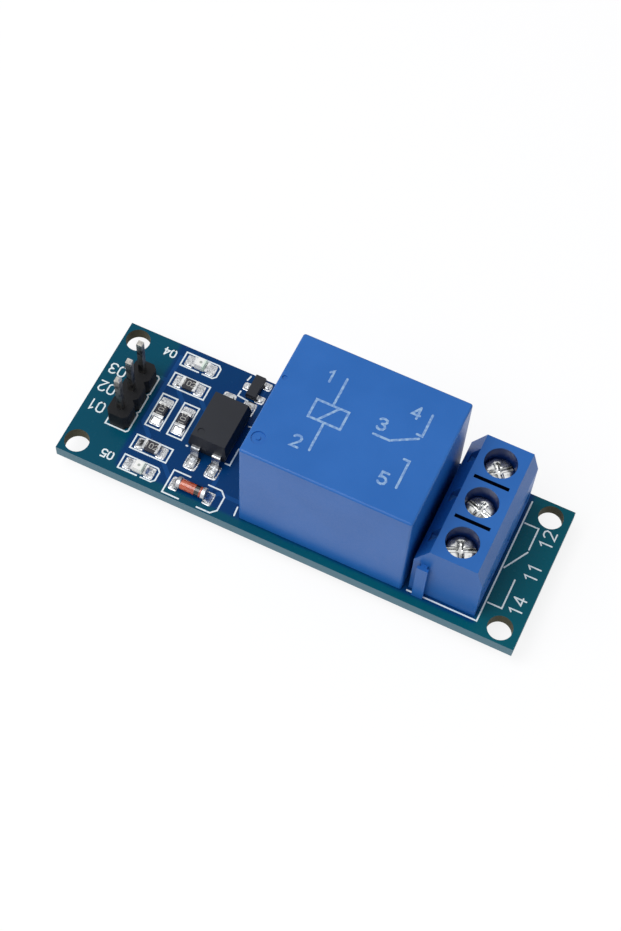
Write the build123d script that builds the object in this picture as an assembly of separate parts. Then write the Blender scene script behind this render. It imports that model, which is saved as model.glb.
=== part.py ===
from build123d import *
import math
import os

# Relay module board: a narrow circuit board that carries a sealed cube relay, a
# three-way screw terminal, a three-pin header, an optocoupler and small surface parts.
# Millimetres. X runs along the board from the header to the screw terminal, Y runs
# across it, Z points up. The origin is the centre of the four mounting holes on the
# board's underside.

# Circuit board
board_thickness = 1.6
mount_hole_radius = 1.4
mount_inset_left = 1.7
mount_inset_right = 2.2
mount_inset_side = 1.75
drill_clearance = 0.15
tail_below_board = 1.9

# Relay case and its pin pattern
relay_inset = 21.81
relay_side_margin = 1.2
relay_y = -0.15
relay_length = 19.2
relay_width = 15.5
relay_height = 15.4
relay_standoff = 0.2
relay_wall = 0.8
relay_corner_radius = 0.3
relay_top_radius = 0.25
relay_vent_radius = 0.78
relay_vent_inset = 1.2
relay_vent_inset_y = 2.15
relay_vent_depth = 0.16
relay_pip_radius = 0.22
relay_gate_radius = 0.28
relay_gate_offset_y = 1.95
relay_pin_end = 2.3
relay_coil_pin_step = 2.0
relay_blade_end = 2.7
relay_pin_side = 1.75
relay_fit = 0.05

# Relay base and magnet
base_lift = 0.5
base_thickness = 1.5
base_foot_radius = 0.6
base_foot_inset = 1.6
barrier_thickness = 0.7
barrier_gap = 0.2
barrier_drop = 1.7
yoke_thickness = 1.1
yoke_side_step = 0.5
yoke_bend_radius = 0.5
core_to_flange = 4 / 11
pole_inset = 1.1
pole_thickness = 0.6
bobbin_wall = 0.6
flange_thickness = 0.8
bobbin_headroom = 4.7
bobbin_flange_round = 2.2
lower_flange_extra = 0.3
winding_inset = 0.4
winding_round = 0.2
coil_post_rise = 1.0
magnet_gap = 0.3

# Relay armature, spring and contacts
armature_gap = 0.55
armature_thickness = 1.0
armature_side_gap = 1.3
armature_inset = 0.1
armature_corner = 1.3
hinge_clearance = 0.05
leaf_thickness = 0.2
leaf_width = 5.0
leaf_tip_width = 3.0
leaf_tail = 4.5
leaf_slot_length = 3.6
leaf_slot_width = 0.6
contact_radius = 1.0
contact_shank_radius = 0.5
contact_height = 0.38
contact_round = 0.19
contact_rest_gap = 0.05
contact_setback = 1.6
contact_travel = 0.8
blade_thickness = 0.4
blade_width = 1.4
common_blade_corner = 1.4
pin_width = 1.0

# Screw terminal
terminal_gap = 0.59
terminal_margin = 5.2
terminal_y = 0.45
terminal_poles = 3
terminal_pitch = 5.08
terminal_depth = 7.6
terminal_height = 10.0
terminal_back_bevel_run = 1.5
terminal_back_bevel_drop = 2.9
terminal_front_bevel_run = 0.8
terminal_front_bevel_drop = 2.6
well_radius = 1.8
well_offset = 0.25
slot_length = 3.95
slot_width = 0.42
slot_depth = 3.0
notch_width = 1.3
notch_length = 0.85
notch_depth = 2.4
rib_neck_width = 0.7
rib_head_width = 1.25
rib_reach = 0.7
rib_offset = 1.25
rib_drop = 0.3
groove_clearance = 0.1
clamp_frame_height = 4.0
clamp_frame_lift = 0.5
clamp_frame_width = 4.0
clamp_frame_length = 3.7
clamp_frame_wall = 0.6
clamp_frame_round = 0.3
clamp_thread_wall = 0.8
frame_fit = 0.05
entry_mouth_growth = 0.35
entry_mouth_depth = 0.6
screw_radius = 1.2
screw_head_radius = 1.7
screw_head_height = 1.35
screw_head_round = 0.45
screw_head_rise = 8.3
screw_slot_width = 0.5
screw_slot_depth = 0.7
screw_cross_length = 2.0
screw_tip_chamfer = 0.3
thread_clearance = 0.05
plate_thickness = 0.45
plate_round = 0.22
plate_clearance = 0.1
terminal_pin_width = 1.0
terminal_pin_thickness = 0.8

# Pin header
header_inset = 4.8
header_y = 0.05
header_pins = 3
header_pitch = 2.54
header_body_width = 2.5
header_body_height = 2.54
header_corner = 0.45
header_pin_width = 0.64
header_pin_above = 6.0
header_pin_below = 3.0
header_pin_tip = 0.2

# Optocoupler
opto_inset = 15.53
opto_y = 0.35
opto_body_length = 6.5
opto_body_width = 4.58
opto_body_height = 3.3
opto_lift = 0.25
opto_draft = 0.28
opto_lead_pitch = 2.54
opto_lead_width = 0.95
opto_lead_thickness = 0.26
opto_lead_bend = 0.2
opto_lead_height = 1.9
opto_lead_reach = 1.8
opto_foot_length = 1.0
opto_dimple_radius = 0.4
opto_dimple_depth = 0.1

# Small transistor
transistor_inset = 16.5
transistor_gap = 0.05
transistor_body_length = 2.9
transistor_body_width = 1.3
transistor_body_height = 0.95
transistor_lift = 0.06
transistor_draft = 0.08
transistor_lead_pitch = 1.9
transistor_lead_width = 0.42
transistor_lead_thickness = 0.14
transistor_lead_bend = 0.1
transistor_lead_height = 0.5
transistor_span = 2.4
transistor_foot_length = 0.35

# Chip resistors and indicator lamps share one outline
chip_length = 2.0
chip_width = 1.25
chip_end = 0.4
chip_end_round = 0.06
chip_lift = 0.04
resistor_height = 0.5
resistor_glaze = 0.08
lamp_base_height = 0.3
lamp_height = 0.8
lamp_lens_draft = 0.1
resistor_1_inset = 9.6
resistor_1_y = 4.4
resistor_2_inset = 8.35
resistor_2_y = 0.1
resistor_3_inset = 11.05
resistor_3_y = 0.1
resistor_4_inset = 9.5
resistor_4_y = -4.48
power_lamp_inset = 9.6
power_lamp_edge = 1.6
switch_lamp_inset = 9.45
switch_lamp_edge = 1.7
quarter_turn = 90

# Glass diode
diode_inset = 15.85
diode_edge = 1.75
diode_length = 3.5
diode_radius = 0.7
diode_glass_radius = 0.6
diode_cap_length = 0.5
diode_die_size = 0.35
diode_slug_radius = 0.3
diode_cap_round = 0.1

# Solder
pad_length = 1.0
solder_rim = 0.06
solder_overlap_y = 0.1
chip_solder_height = 0.4
opto_solder_reach = 0.35
solder_curve = 1.6
joint_radius = 1.15
joint_height = 1.1
joint_tip_radius = 0.82

board_length = relay_inset + relay_length + terminal_gap + terminal_depth + terminal_margin
board_width = relay_width + 2 * relay_side_margin
mount_spacing_x = board_length - mount_inset_left - mount_inset_right
mount_spacing_y = board_width - 2 * mount_inset_side
board_left = -mount_spacing_x / 2 - mount_inset_left
board_middle_x = board_left + board_length / 2
board_far = board_width / 2
board_top = board_thickness
seat_z = -tail_below_board
STAND = (Align.CENTER, Align.CENTER, Align.MIN)

relay_left = board_left + relay_inset
relay_right = relay_left + relay_length
relay_x = (relay_left + relay_right) / 2
relay_pin_x = relay_left + relay_pin_end
relay_coil_x = relay_pin_x + relay_coil_pin_step
relay_blade_x = relay_right - relay_blade_end
relay_pin_y = relay_width / 2 - relay_pin_side
case_bottom = board_top + relay_standoff
case_top = case_bottom + relay_height
base_bottom = board_top + base_lift
base_top = base_bottom + base_thickness

yoke_left = relay_pin_x + blade_thickness / 2
yoke_right = yoke_left + yoke_thickness
moving_x = relay_blade_x - contact_setback
barrier_right = moving_x - contact_radius - barrier_gap
barrier_left = barrier_right - barrier_thickness
bobbin_left = yoke_right + magnet_gap
bobbin_right = barrier_left - magnet_gap
core_x = (bobbin_left + bobbin_right) / 2
bobbin_flange_radius = (bobbin_right - bobbin_left) / 2
core_radius = bobbin_flange_radius * core_to_flange
pole_radius = bobbin_flange_radius - pole_inset
winding_radius = bobbin_flange_radius - winding_inset
armature_width = 2 * (relay_pin_y - blade_width / 2 - armature_side_gap)
armature_end = bobbin_right - armature_inset
yoke_width = armature_width - 2 * yoke_side_step
bobbin_bottom = base_top + yoke_thickness
pole_bottom = case_top - bobbin_headroom
barrier_top = pole_bottom - barrier_drop
pole_top = pole_bottom + pole_thickness
armature_bottom = pole_top + armature_gap
armature_top = armature_bottom + armature_thickness
yoke_top = armature_bottom - hinge_clearance
leaf_top = armature_top + leaf_thickness
closed_face = leaf_top + contact_height + contact_rest_gap
closed_button = (closed_face, closed_face + contact_height)
open_face = armature_top - contact_height - contact_travel
open_button = (open_face - contact_height, open_face)

terminal_back = relay_right + terminal_gap
terminal_front = terminal_back + terminal_depth
terminal_length = terminal_pitch * terminal_poles
terminal_top = board_top + terminal_height
well_x = (terminal_back + terminal_front) / 2 + well_offset
clamp_bottom = board_top + clamp_frame_lift
clamp_top = clamp_bottom + clamp_frame_height
first_pole_y = terminal_y - terminal_pitch * (terminal_poles - 1) / 2
pole_places = [first_pole_y + terminal_pitch * number for number in range(terminal_poles)]

header_x = board_left + header_inset
first_pin_y = header_y - header_pitch * (header_pins - 1) / 2
header_places = [first_pin_y + header_pitch * number for number in range(header_pins)]

opto_x = board_left + opto_inset
opto_span = opto_body_length + 2 * opto_lead_reach
opto_far = opto_y + opto_span / 2 + opto_solder_reach
transistor_x = board_left + transistor_inset
transistor_y = opto_far + transistor_gap + transistor_body_length / 2
diode_x = board_left + diode_inset
diode_y = diode_edge - board_far
resistor_places = {
    1: (board_left + resistor_1_inset, resistor_1_y, 0),
    2: (board_left + resistor_2_inset, resistor_2_y, quarter_turn),
    3: (board_left + resistor_3_inset, resistor_3_y, quarter_turn),
    4: (board_left + resistor_4_inset, resistor_4_y, 0),
}
lamp_places = {
    "power": (board_left + power_lamp_inset, board_far - power_lamp_edge, 0),
    "switch": (board_left + switch_lamp_inset, switch_lamp_edge - board_far, 0),
}


def block(x, y, z):
    """A box between two limits on each axis."""
    sizes = [high - low for low, high in (x, y, z)]
    middles = [(low + high) / 2 for low, high in (x, y, z)]
    return Pos(*middles) * Box(*sizes)


def post(x, y, z, radius):
    """An upright cylinder between two heights."""
    return Pos(x, y, z[0]) * Cylinder(radius, z[1] - z[0], align=STAND)


def upright_profile(points, y):
    """A closed outline in X and Z, carried along Y between two limits."""
    face = make_face(Plane.XZ * Polyline(*points, close=True))
    return Pos(0, y[0], 0) * extrude(face, y[1] - y[0], dir=(0, 1, 0))


def end_profile(points, x):
    """A closed outline in Y and Z, carried along X between two limits."""
    face = make_face(Plane.YZ * Polyline(*points, close=True))
    return Pos(x[0], 0, 0) * extrude(face, x[1] - x[0], dir=(1, 0, 0))


def relay_pins():
    """Where the relay's five pins pass the board, as X and Y."""
    paired = [(x, y) for x in (relay_coil_x, relay_blade_x) for y in (-relay_pin_y, relay_pin_y)]
    return [(relay_pin_x, 0), *paired]


def circuit_board():
    """The laminate with its mounting holes and the drilled holes for every pin."""
    plate = Pos(board_middle_x, 0, 0) * Box(board_length, board_width, board_thickness, align=STAND)
    half_x = mount_spacing_x / 2
    half_y = mount_spacing_y / 2
    corners = [(x, y) for x in (-half_x, half_x) for y in (-half_y, half_y)]
    drills = [post(x, y, (0, board_top), mount_hole_radius) for x, y in corners]
    blade_drill = math.hypot(pin_width, blade_thickness) / 2 + drill_clearance
    drills += [post(x, relay_y + y, (0, board_top), blade_drill) for x, y in relay_pins()]
    clamp_drill = math.hypot(terminal_pin_width, terminal_pin_thickness) / 2 + drill_clearance
    drills += [post(well_x, y, (0, board_top), clamp_drill) for y in pole_places]
    header_drill = header_pin_width / math.sqrt(2) + drill_clearance
    drills += [post(header_x, y, (0, board_top), header_drill) for y in header_places]
    return plate - drills


# Relay case, base and magnet


def relay_cover():
    """The moulded cover: a rounded box, open below, with its vent recess and gate mark."""
    outer = Box(relay_length, relay_width, relay_height, align=STAND)
    outer = fillet(outer.edges().filter_by(Axis.Z), relay_corner_radius)
    outer = fillet(outer.faces().sort_by(Axis.Z)[-1].edges(), relay_top_radius)
    inner_length = relay_length - 2 * relay_wall
    inner_width = relay_width - 2 * relay_wall
    inner = Box(inner_length, inner_width, relay_height - relay_wall, align=STAND)
    vent_x = -relay_length / 2 + relay_vent_inset
    vent_y = -relay_width / 2 + relay_vent_inset_y
    recess = (relay_height - relay_vent_depth, relay_height)
    vent = post(vent_x, vent_y, recess, relay_vent_radius) - post(vent_x, vent_y, recess, relay_pip_radius)
    gate_x = -relay_length / 2 + relay_top_radius + relay_gate_radius
    gate = post(gate_x, relay_gate_offset_y, recess, relay_gate_radius)
    return Pos(relay_x, relay_y, case_bottom) * (outer - inner - vent - gate)


def relay_base():
    """The base plate with its feet, the upright barrier and a close slot for each pin."""
    length = relay_length - 2 * (relay_wall + relay_fit)
    width = relay_width - 2 * (relay_wall + relay_fit)
    plate = Pos(relay_x, 0, base_bottom) * Box(length, width, base_thickness, align=STAND)
    for side_x in (-1, 1):
        for side_y in (-1, 1):
            foot_x = relay_x + side_x * (relay_length / 2 - base_foot_inset)
            foot_y = side_y * (relay_width / 2 - base_foot_inset)
            plate += post(foot_x, foot_y, (board_top, base_bottom), base_foot_radius)
    barrier_z = (base_top, barrier_top)
    plate += block((barrier_left, barrier_right), (-width / 2, width / 2), barrier_z)
    slot_height = (base_bottom, base_top)
    half_x = blade_thickness / 2 + relay_fit
    for x, y in relay_pins():
        half_y = (yoke_width if y == 0 else blade_width) / 2 + relay_fit
        plate -= block((x - half_x, x + half_x), (y - half_y, y + half_y), slot_height)
    return Pos(0, relay_y, 0) * plate


def relay_yoke():
    """The bent steel yoke: a foot under the winding and a leg that carries the armature."""
    outline = [
        (yoke_left, base_top),
        (bobbin_right, base_top),
        (bobbin_right, base_top + yoke_thickness),
        (yoke_right, base_top + yoke_thickness),
        (yoke_right, yoke_top),
        (yoke_left, yoke_top),
    ]
    bent = upright_profile(outline, (-yoke_width / 2, yoke_width / 2))
    heel = bent.edges().filter_by(Axis.Y).sort_by_distance((yoke_left, 0, base_top))[0]
    bent = fillet(heel, yoke_bend_radius)
    return Pos(0, relay_y, 0) * (bent - post(core_x, 0, (base_top, bobbin_bottom), core_radius + relay_fit))


def relay_core():
    """The steel core, staked in the yoke, with the round pole face on top."""
    shank = post(core_x, relay_y, (base_top, pole_bottom), core_radius)
    return shank + post(core_x, relay_y, (pole_bottom, pole_top), pole_radius)


def relay_bobbin():
    """The moulded spool, whose lower flange also holds the two coil pins."""
    flange_side = 2 * bobbin_flange_radius
    spool = post(core_x, 0, (bobbin_bottom, pole_bottom), core_radius + relay_fit + bobbin_wall)
    lower_width = 2 * relay_pin_y + pin_width + 2 * lower_flange_extra
    lower = Box(flange_side, lower_width, flange_thickness, align=STAND)
    upper = Box(flange_side, flange_side, flange_thickness, align=STAND)
    upper = fillet(upper.edges().filter_by(Axis.Z), bobbin_flange_round)
    spool += Pos(core_x, 0, bobbin_bottom) * lower
    spool += Pos(core_x, 0, pole_bottom - flange_thickness) * upper
    spool -= post(core_x, 0, (bobbin_bottom, pole_bottom), core_radius + relay_fit)
    half_x = blade_thickness / 2 + relay_fit
    half_y = pin_width / 2 + relay_fit
    slot_x = (relay_coil_x - half_x, relay_coil_x + half_x)
    lower_flange = (bobbin_bottom, bobbin_bottom + flange_thickness)
    for y in (-relay_pin_y, relay_pin_y):
        spool -= block(slot_x, (y - half_y, y + half_y), lower_flange)
    return Pos(0, relay_y, 0) * spool


def relay_winding():
    """The copper winding, one closed ring of turns between the flanges."""
    height = (bobbin_bottom + flange_thickness, pole_bottom - flange_thickness)
    ring = post(core_x, relay_y, height, winding_radius)
    ring = fillet(ring.edges(), winding_round)
    return ring - post(core_x, relay_y, height, core_radius + relay_fit + bobbin_wall)


def relay_coil_pins():
    """The two coil pins, from the winding's end posts down through the board."""
    top = bobbin_bottom + flange_thickness + coil_post_rise
    half_x = blade_thickness / 2
    half_y = pin_width / 2
    x = (relay_coil_x - half_x, relay_coil_x + half_x)
    pins = [block(x, (y - half_y, y + half_y), (seat_z, top)) for y in (-relay_pin_y, relay_pin_y)]
    return Pos(0, relay_y, 0) * Compound(pins)


# Relay armature and contacts


def relay_armature():
    """The steel clapper that lies over the pole face and rocks on the yoke's top edge."""
    half_width = armature_width / 2
    plate = block((yoke_left, armature_end), (-half_width, half_width), (armature_bottom, armature_top))
    front = plate.edges().filter_by(Axis.Z).group_by(Axis.X)[-1]
    return Pos(0, relay_y, 0) * chamfer(front, armature_corner)


def relay_contact_spring():
    """The leaf spring: a tail behind the yoke, a bend over it and a tapered, slotted blade."""
    tail_outer = relay_pin_x - blade_thickness / 2 - relay_fit - leaf_thickness
    tip = moving_x + contact_radius
    side = [
        (tail_outer, armature_top - leaf_tail),
        (tail_outer + leaf_thickness, armature_top - leaf_tail),
        (tail_outer + leaf_thickness, armature_top),
        (tip, armature_top),
        (tip, leaf_top),
        (tail_outer, leaf_top),
    ]
    strip = upright_profile(side, (-leaf_width / 2, leaf_width / 2))
    bend = strip.edges().filter_by(Axis.Y).sort_by_distance((tail_outer, 0, leaf_top))[0]
    strip = fillet(bend, leaf_thickness)
    taper_start = core_x + pole_radius
    plan = Polyline(
        (taper_start, leaf_width / 2),
        (tip, leaf_tip_width / 2),
        (tip + leaf_width, leaf_tip_width / 2),
        (tip + leaf_width, leaf_width),
        (taper_start, leaf_width),
        close=True,
    )
    cut = Pos(0, 0, armature_top) * extrude(make_face(plan), leaf_thickness)
    strip = strip - cut - mirror(cut, Plane.XZ)
    slot_start = moving_x - contact_radius - leaf_slot_length
    slot = (slot_start, slot_start + leaf_slot_length)
    strip -= block(slot, (-leaf_slot_width / 2, leaf_slot_width / 2), (armature_top, leaf_top))
    return Pos(0, relay_y, 0) * (strip - post(moving_x, 0, (armature_top, leaf_top), contact_shank_radius))


def relay_moving_contact():
    """The silver rivet through the leaf, with a rounded face on each side."""
    lower = rounded_button((armature_top - contact_height, armature_top), False)
    upper = rounded_button((leaf_top, leaf_top + contact_height), True)
    return lower + post(moving_x, relay_y, (armature_top, leaf_top), contact_shank_radius) + upper


def rounded_button(z, rounded_up):
    """A contact button at the moving contact's place, with one rounded rim."""
    button = post(moving_x, relay_y, z, contact_radius)
    rims = button.edges().filter_by(GeomType.CIRCLE).sort_by(Axis.Z)
    return fillet(rims[-1] if rounded_up else rims[0], contact_round)


def fixed_contact(z):
    """A fixed silver contact that faces the moving one."""
    return post(moving_x, relay_y, z, contact_radius)


def contact_blade(side, shelf_z, shoulder_z):
    """A blade from the board to a shelf that is bent over at the contact's height."""
    edge = relay_pin_y + blade_width / 2
    inner = relay_pin_y - blade_width / 2
    low, high = base_bottom, shelf_z + blade_thickness
    outline = [
        (inner, low),
        (edge, low),
        (edge, high),
        (-contact_radius, high),
        (-contact_radius, shoulder_z),
        (inner, shoulder_z),
    ]
    if side < 0:
        outline = [(-y, z) for y, z in outline]
    x = (relay_blade_x - blade_thickness / 2, relay_blade_x + blade_thickness / 2)
    blade = end_profile(outline, x)
    shelf_y = (-contact_radius, contact_radius)
    blade += block((moving_x - contact_radius, x[1]), shelf_y, (shelf_z, high))
    centre = side * relay_pin_y
    blade += block(x, (centre - pin_width / 2, centre + pin_width / 2), (seat_z, low))
    return Pos(0, relay_y, 0) * blade


def relay_closed_blade():
    """The blade that meets the moving contact from above while the relay rests."""
    shelf_z = closed_button[1]
    return contact_blade(1, shelf_z, armature_top - contact_rest_gap)


def relay_open_blade():
    """The blade that the moving contact reaches when the relay pulls in."""
    shelf_z = open_button[0] - blade_thickness
    return contact_blade(-1, shelf_z, shelf_z - blade_width)


def relay_common_blade():
    """The flat strip behind the yoke that joins it to the common pin."""
    x = (relay_pin_x - blade_thickness / 2, relay_pin_x + blade_thickness / 2)
    strip = block(x, (-yoke_width / 2, yoke_width / 2), (base_bottom, yoke_top - yoke_thickness))
    corners = strip.edges().filter_by(Axis.X).group_by(Axis.Z)[-1]
    strip = chamfer(corners, common_blade_corner)
    return Pos(0, relay_y, 0) * (strip + block(x, (-pin_width / 2, pin_width / 2), (seat_z, base_bottom)))


# Screw terminal


def terminal_housing():
    """The moulded terminal body: bevelled top, screw wells, clamp cavities and wire mouths."""
    ends = (terminal_y - terminal_length / 2, terminal_y + terminal_length / 2)
    outline = [
        (terminal_back, board_top),
        (terminal_front, board_top),
        (terminal_front, terminal_top - terminal_front_bevel_drop),
        (terminal_front - terminal_front_bevel_run, terminal_top),
        (terminal_back + terminal_back_bevel_run, terminal_top),
        (terminal_back, terminal_top - terminal_back_bevel_drop),
    ]
    body = upright_profile(outline, ends)
    for y in pole_places:
        body -= pole_cuts(y)
    slot_x = (well_x - slot_length / 2, well_x + slot_length / 2)
    for y in pole_places[1:]:
        between = y - terminal_pitch / 2
        slot_y = (between - slot_width / 2, between + slot_width / 2)
        body -= block(slot_x, slot_y, (terminal_top - slot_depth, terminal_top))
    rib_top = terminal_top - terminal_back_bevel_drop - rib_drop
    body += dovetail(ends[0], 0, (board_top, rib_top))
    return body - dovetail(ends[1], groove_clearance, (board_top, rib_top + groove_clearance))


def dovetail(y, growth, z):
    """The upright rib that keys one terminal to the next, or its groove when grown."""
    neck = rib_neck_width / 2 + growth
    head = rib_head_width / 2 + growth
    reach = rib_reach + growth
    place = Pos(terminal_back + rib_offset, y, 0)
    stem = place * block((-neck, neck), (-reach, 0), z)
    return stem + place * block((-head, head), (-reach, -reach / 2), z)


def pole_cuts(y):
    """What one pole takes out of the housing."""
    half_x = clamp_frame_length / 2 + frame_fit
    half_y = clamp_frame_width / 2 + frame_fit
    cuts = block((well_x - half_x, well_x + half_x), (y - half_y, y + half_y), (board_top, clamp_top))
    cuts += post(well_x, y, (clamp_top, terminal_top), well_radius)
    window_y, window_z = clamp_window(y)
    cuts += block((well_x, terminal_front), window_y, window_z)
    mouth = loft(
        [
            Plane.YZ.offset(terminal_front - entry_mouth_depth) * mouth_face(window_y, window_z, 0),
            Plane.YZ.offset(terminal_front) * mouth_face(window_y, window_z, entry_mouth_growth),
        ]
    )
    notch_end = terminal_back + terminal_back_bevel_run
    notch_y = (y - notch_width / 2, y + notch_width / 2)
    notch_z = (terminal_top - notch_depth, terminal_top)
    return cuts + mouth + block((notch_end - notch_length, notch_end), notch_y, notch_z)


def clamp_window(y):
    """The wire's way through a clamp frame, as limits in Y and Z."""
    half = clamp_frame_width / 2 - clamp_frame_wall
    return (y - half, y + half), (clamp_bottom + clamp_frame_wall, clamp_top - clamp_thread_wall)


def mouth_face(window_y, window_z, growth):
    """The wire mouth's outline, grown all round."""
    width = window_y[1] - window_y[0] + 2 * growth
    height = window_z[1] - window_z[0] + 2 * growth
    return Pos(sum(window_y) / 2, sum(window_z) / 2) * Rectangle(width, height)


def terminal_frame(y):
    """One clamp frame: a metal loop with a threaded top and the pin that goes to the board."""
    window_y, window_z = clamp_window(y)
    half_x = clamp_frame_length / 2
    half_y = clamp_frame_width / 2
    x = (well_x - half_x, well_x + half_x)
    loop = block(x, (y - half_y, y + half_y), (clamp_bottom, clamp_top))
    loop = fillet(loop.edges().filter_by(Axis.X), clamp_frame_round) - block(x, window_y, window_z)
    loop -= post(well_x, y, (window_z[1], clamp_top), screw_radius + thread_clearance)
    pin = Box(terminal_pin_thickness, terminal_pin_width, clamp_bottom - seat_z, align=STAND)
    return loop + Pos(well_x, y, seat_z) * pin


def terminal_plate(y):
    """One pressure plate, held up under the frame's top until the screw drives it down."""
    window_y, window_z = clamp_window(y)
    length = clamp_frame_length - 2 * plate_clearance
    width = window_y[1] - window_y[0] - 2 * plate_clearance
    bottom = window_z[1] - plate_clearance - plate_thickness
    plate = Pos(well_x, y, bottom) * Box(length, width, plate_thickness, align=STAND)
    lips = plate.edges().filter_by(Axis.Y).group_by(Axis.Z)[0]
    return fillet(lips, plate_round)


def terminal_screw(y):
    """One clamp screw: a round head with a cross slot, and a shank down to its plate."""
    head_top = board_top + screw_head_rise
    head_bottom = head_top - screw_head_height
    tip = clamp_window(y)[1][1] - plate_clearance
    head = post(well_x, y, (head_bottom, head_top), screw_head_radius)
    head = fillet(head.edges().filter_by(GeomType.CIRCLE).sort_by(Axis.Z)[-1], screw_head_round)
    slot = Box(2 * screw_head_radius, screw_slot_width, screw_slot_depth, align=STAND)
    cross = Box(screw_slot_width, screw_cross_length, screw_slot_depth, align=STAND)
    shank = post(well_x, y, (tip, head_bottom), screw_radius)
    shank = chamfer(shank.edges().filter_by(GeomType.CIRCLE).sort_by(Axis.Z)[0], screw_tip_chamfer)
    return head + shank - Pos(well_x, y, head_top - screw_slot_depth) * (slot + cross)


# Pin header


def header_body():
    """The header's insulator: one cell for each pin, with cut corners, joined in a row."""
    half_x = header_body_width / 2
    half_y = header_pitch / 2
    cut = header_corner
    cell = Polyline(
        (-half_x, -half_y + cut),
        (-half_x + cut, -half_y),
        (half_x - cut, -half_y),
        (half_x, -half_y + cut),
        (half_x, half_y - cut),
        (half_x - cut, half_y),
        (-half_x + cut, half_y),
        (-half_x, half_y - cut),
        close=True,
    )
    cell = extrude(make_face(cell), header_body_height)
    row = Pos(header_x, header_places[0], board_top) * cell
    for y in header_places[1:]:
        row += Pos(header_x, y, board_top) * cell
    hole = header_pin_width
    for y in header_places:
        row -= Pos(header_x, y, board_top) * Box(hole, hole, header_body_height, align=STAND)
    return row


def header_pin(y):
    """One square pin with pointed ends, pressed through the insulator."""
    low = board_top - header_pin_below
    high = board_top + header_body_height + header_pin_above
    pin = Pos(header_x, y, low) * Box(header_pin_width, header_pin_width, high - low, align=STAND)
    ends = pin.faces().filter_by(Axis.Z).edges()
    return chamfer(ends, header_pin_tip)


# Surface parts


def moulded_body(length_x, length_y, height, draft):
    """A small moulded body that narrows above and below its parting line."""
    middle = Rectangle(length_x, length_y)
    end = Rectangle(length_x - 2 * draft, length_y - 2 * draft)
    lower = loft([end, Pos(0, 0, height / 2) * middle])
    upper = loft([Pos(0, 0, height / 2) * middle, Pos(0, 0, height) * end])
    return lower + upper


def gull_lead(body_half, span_half, height, thickness, foot, width, rounding):
    """A lead that leaves the body level, bends down and ends in a flat foot, towards +X."""
    knee = (body_half + span_half - foot) / 2
    heel = span_half - foot
    path = [
        (body_half, height),
        (knee, height),
        (heel, thickness),
        (span_half, thickness),
        (span_half, 0),
        (heel - thickness, 0),
        (knee - thickness, height - thickness),
        (body_half, height - thickness),
    ]
    lead = upright_profile(path, (-width / 2, width / 2))
    bend = lead.edges().filter_by(Axis.Y).sort_by_distance((knee, 0, height))[0]
    return fillet(bend, rounding)


def optocoupler_body():
    """The optocoupler's moulded body with its pin-one dimple."""
    body = moulded_body(opto_body_width, opto_body_length, opto_body_height, opto_draft)
    mark_x = -opto_body_width / 2 + opto_draft + 2 * opto_dimple_radius
    mark_y = -opto_body_length / 2 + opto_draft + 2 * opto_dimple_radius
    mark_z = (opto_body_height - opto_dimple_depth, opto_body_height)
    mark = post(mark_x, mark_y, mark_z, opto_dimple_radius)
    return Pos(opto_x, opto_y, board_top + opto_lift) * (body - mark)


def optocoupler_leads():
    """The four formed leads, two on each side of the body."""
    lead = gull_lead(
        opto_body_length / 2,
        opto_span / 2,
        opto_lead_height,
        opto_lead_thickness,
        opto_foot_length,
        opto_lead_width,
        opto_lead_bend,
    )
    leads = []
    for turn in (90, -90):
        for side in (-1, 1):
            place = Pos(opto_x + side * opto_lead_pitch / 2, opto_y, board_top + chip_lift)
            leads.append(place * Rot(0, 0, turn) * lead)
    return Compound(leads)


def transistor_body():
    """The small transistor's moulded body."""
    body = moulded_body(
        transistor_body_width, transistor_body_length, transistor_body_height, transistor_draft
    )
    return Pos(transistor_x, transistor_y, board_top + transistor_lift) * body


def transistor_leads():
    """The single lead on the header side and the pair on the relay side."""
    lead = gull_lead(
        transistor_body_width / 2,
        transistor_span / 2,
        transistor_lead_height,
        transistor_lead_thickness,
        transistor_foot_length,
        transistor_lead_width,
        transistor_lead_bend,
    )
    z = board_top + chip_lift
    single = Pos(transistor_x, transistor_y, z) * Rot(0, 0, 180) * lead
    half = transistor_lead_pitch / 2
    pair = [Pos(transistor_x, transistor_y + side * half, z) * lead for side in (-1, 1)]
    return Compound([single, *pair])


def placed(shape, place):
    """A chip part's piece, moved from the origin to its place on the board."""
    x, y, turn = place
    return Pos(x, y, board_top + chip_lift) * Rot(0, 0, turn) * shape


def chip_ends(height):
    """The two plated ends that wrap a chip part."""
    ends = []
    for side in (-1, 1):
        x = side * (chip_length - chip_end) / 2
        cap = Pos(x, 0, 0) * Box(chip_end, chip_width, height, align=STAND)
        ends.append(fillet(cap.edges().filter_by(Axis.Y), chip_end_round))
    return Compound(ends)


def resistor_body():
    """A chip resistor between its ends: ceramic with a raised glaze on top."""
    middle = chip_length - 2 * chip_end
    glaze_height = resistor_height + resistor_glaze
    glaze = Box(middle, chip_width, glaze_height, align=STAND)
    return chamfer(glaze.edges().filter_by(Axis.X).group_by(Axis.Z)[-1], resistor_glaze)


def lamp_base():
    """An indicator lamp's carrier between its plated ends."""
    return Box(chip_length - 2 * chip_end, chip_width, lamp_base_height, align=STAND)


def lamp_lens():
    """An indicator lamp's clear moulding, narrower at the top."""
    length = chip_length - 2 * chip_end
    low = Rectangle(length, chip_width)
    high = Rectangle(length - 2 * lamp_lens_draft, chip_width - 2 * lamp_lens_draft)
    return loft([Pos(0, 0, lamp_base_height) * low, Pos(0, 0, lamp_height) * high])


def diode_place(shape):
    """A diode piece, laid along X on the board."""
    return Pos(diode_x, diode_y, board_top + chip_lift + diode_radius) * Rot(0, 90, 0) * shape


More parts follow.
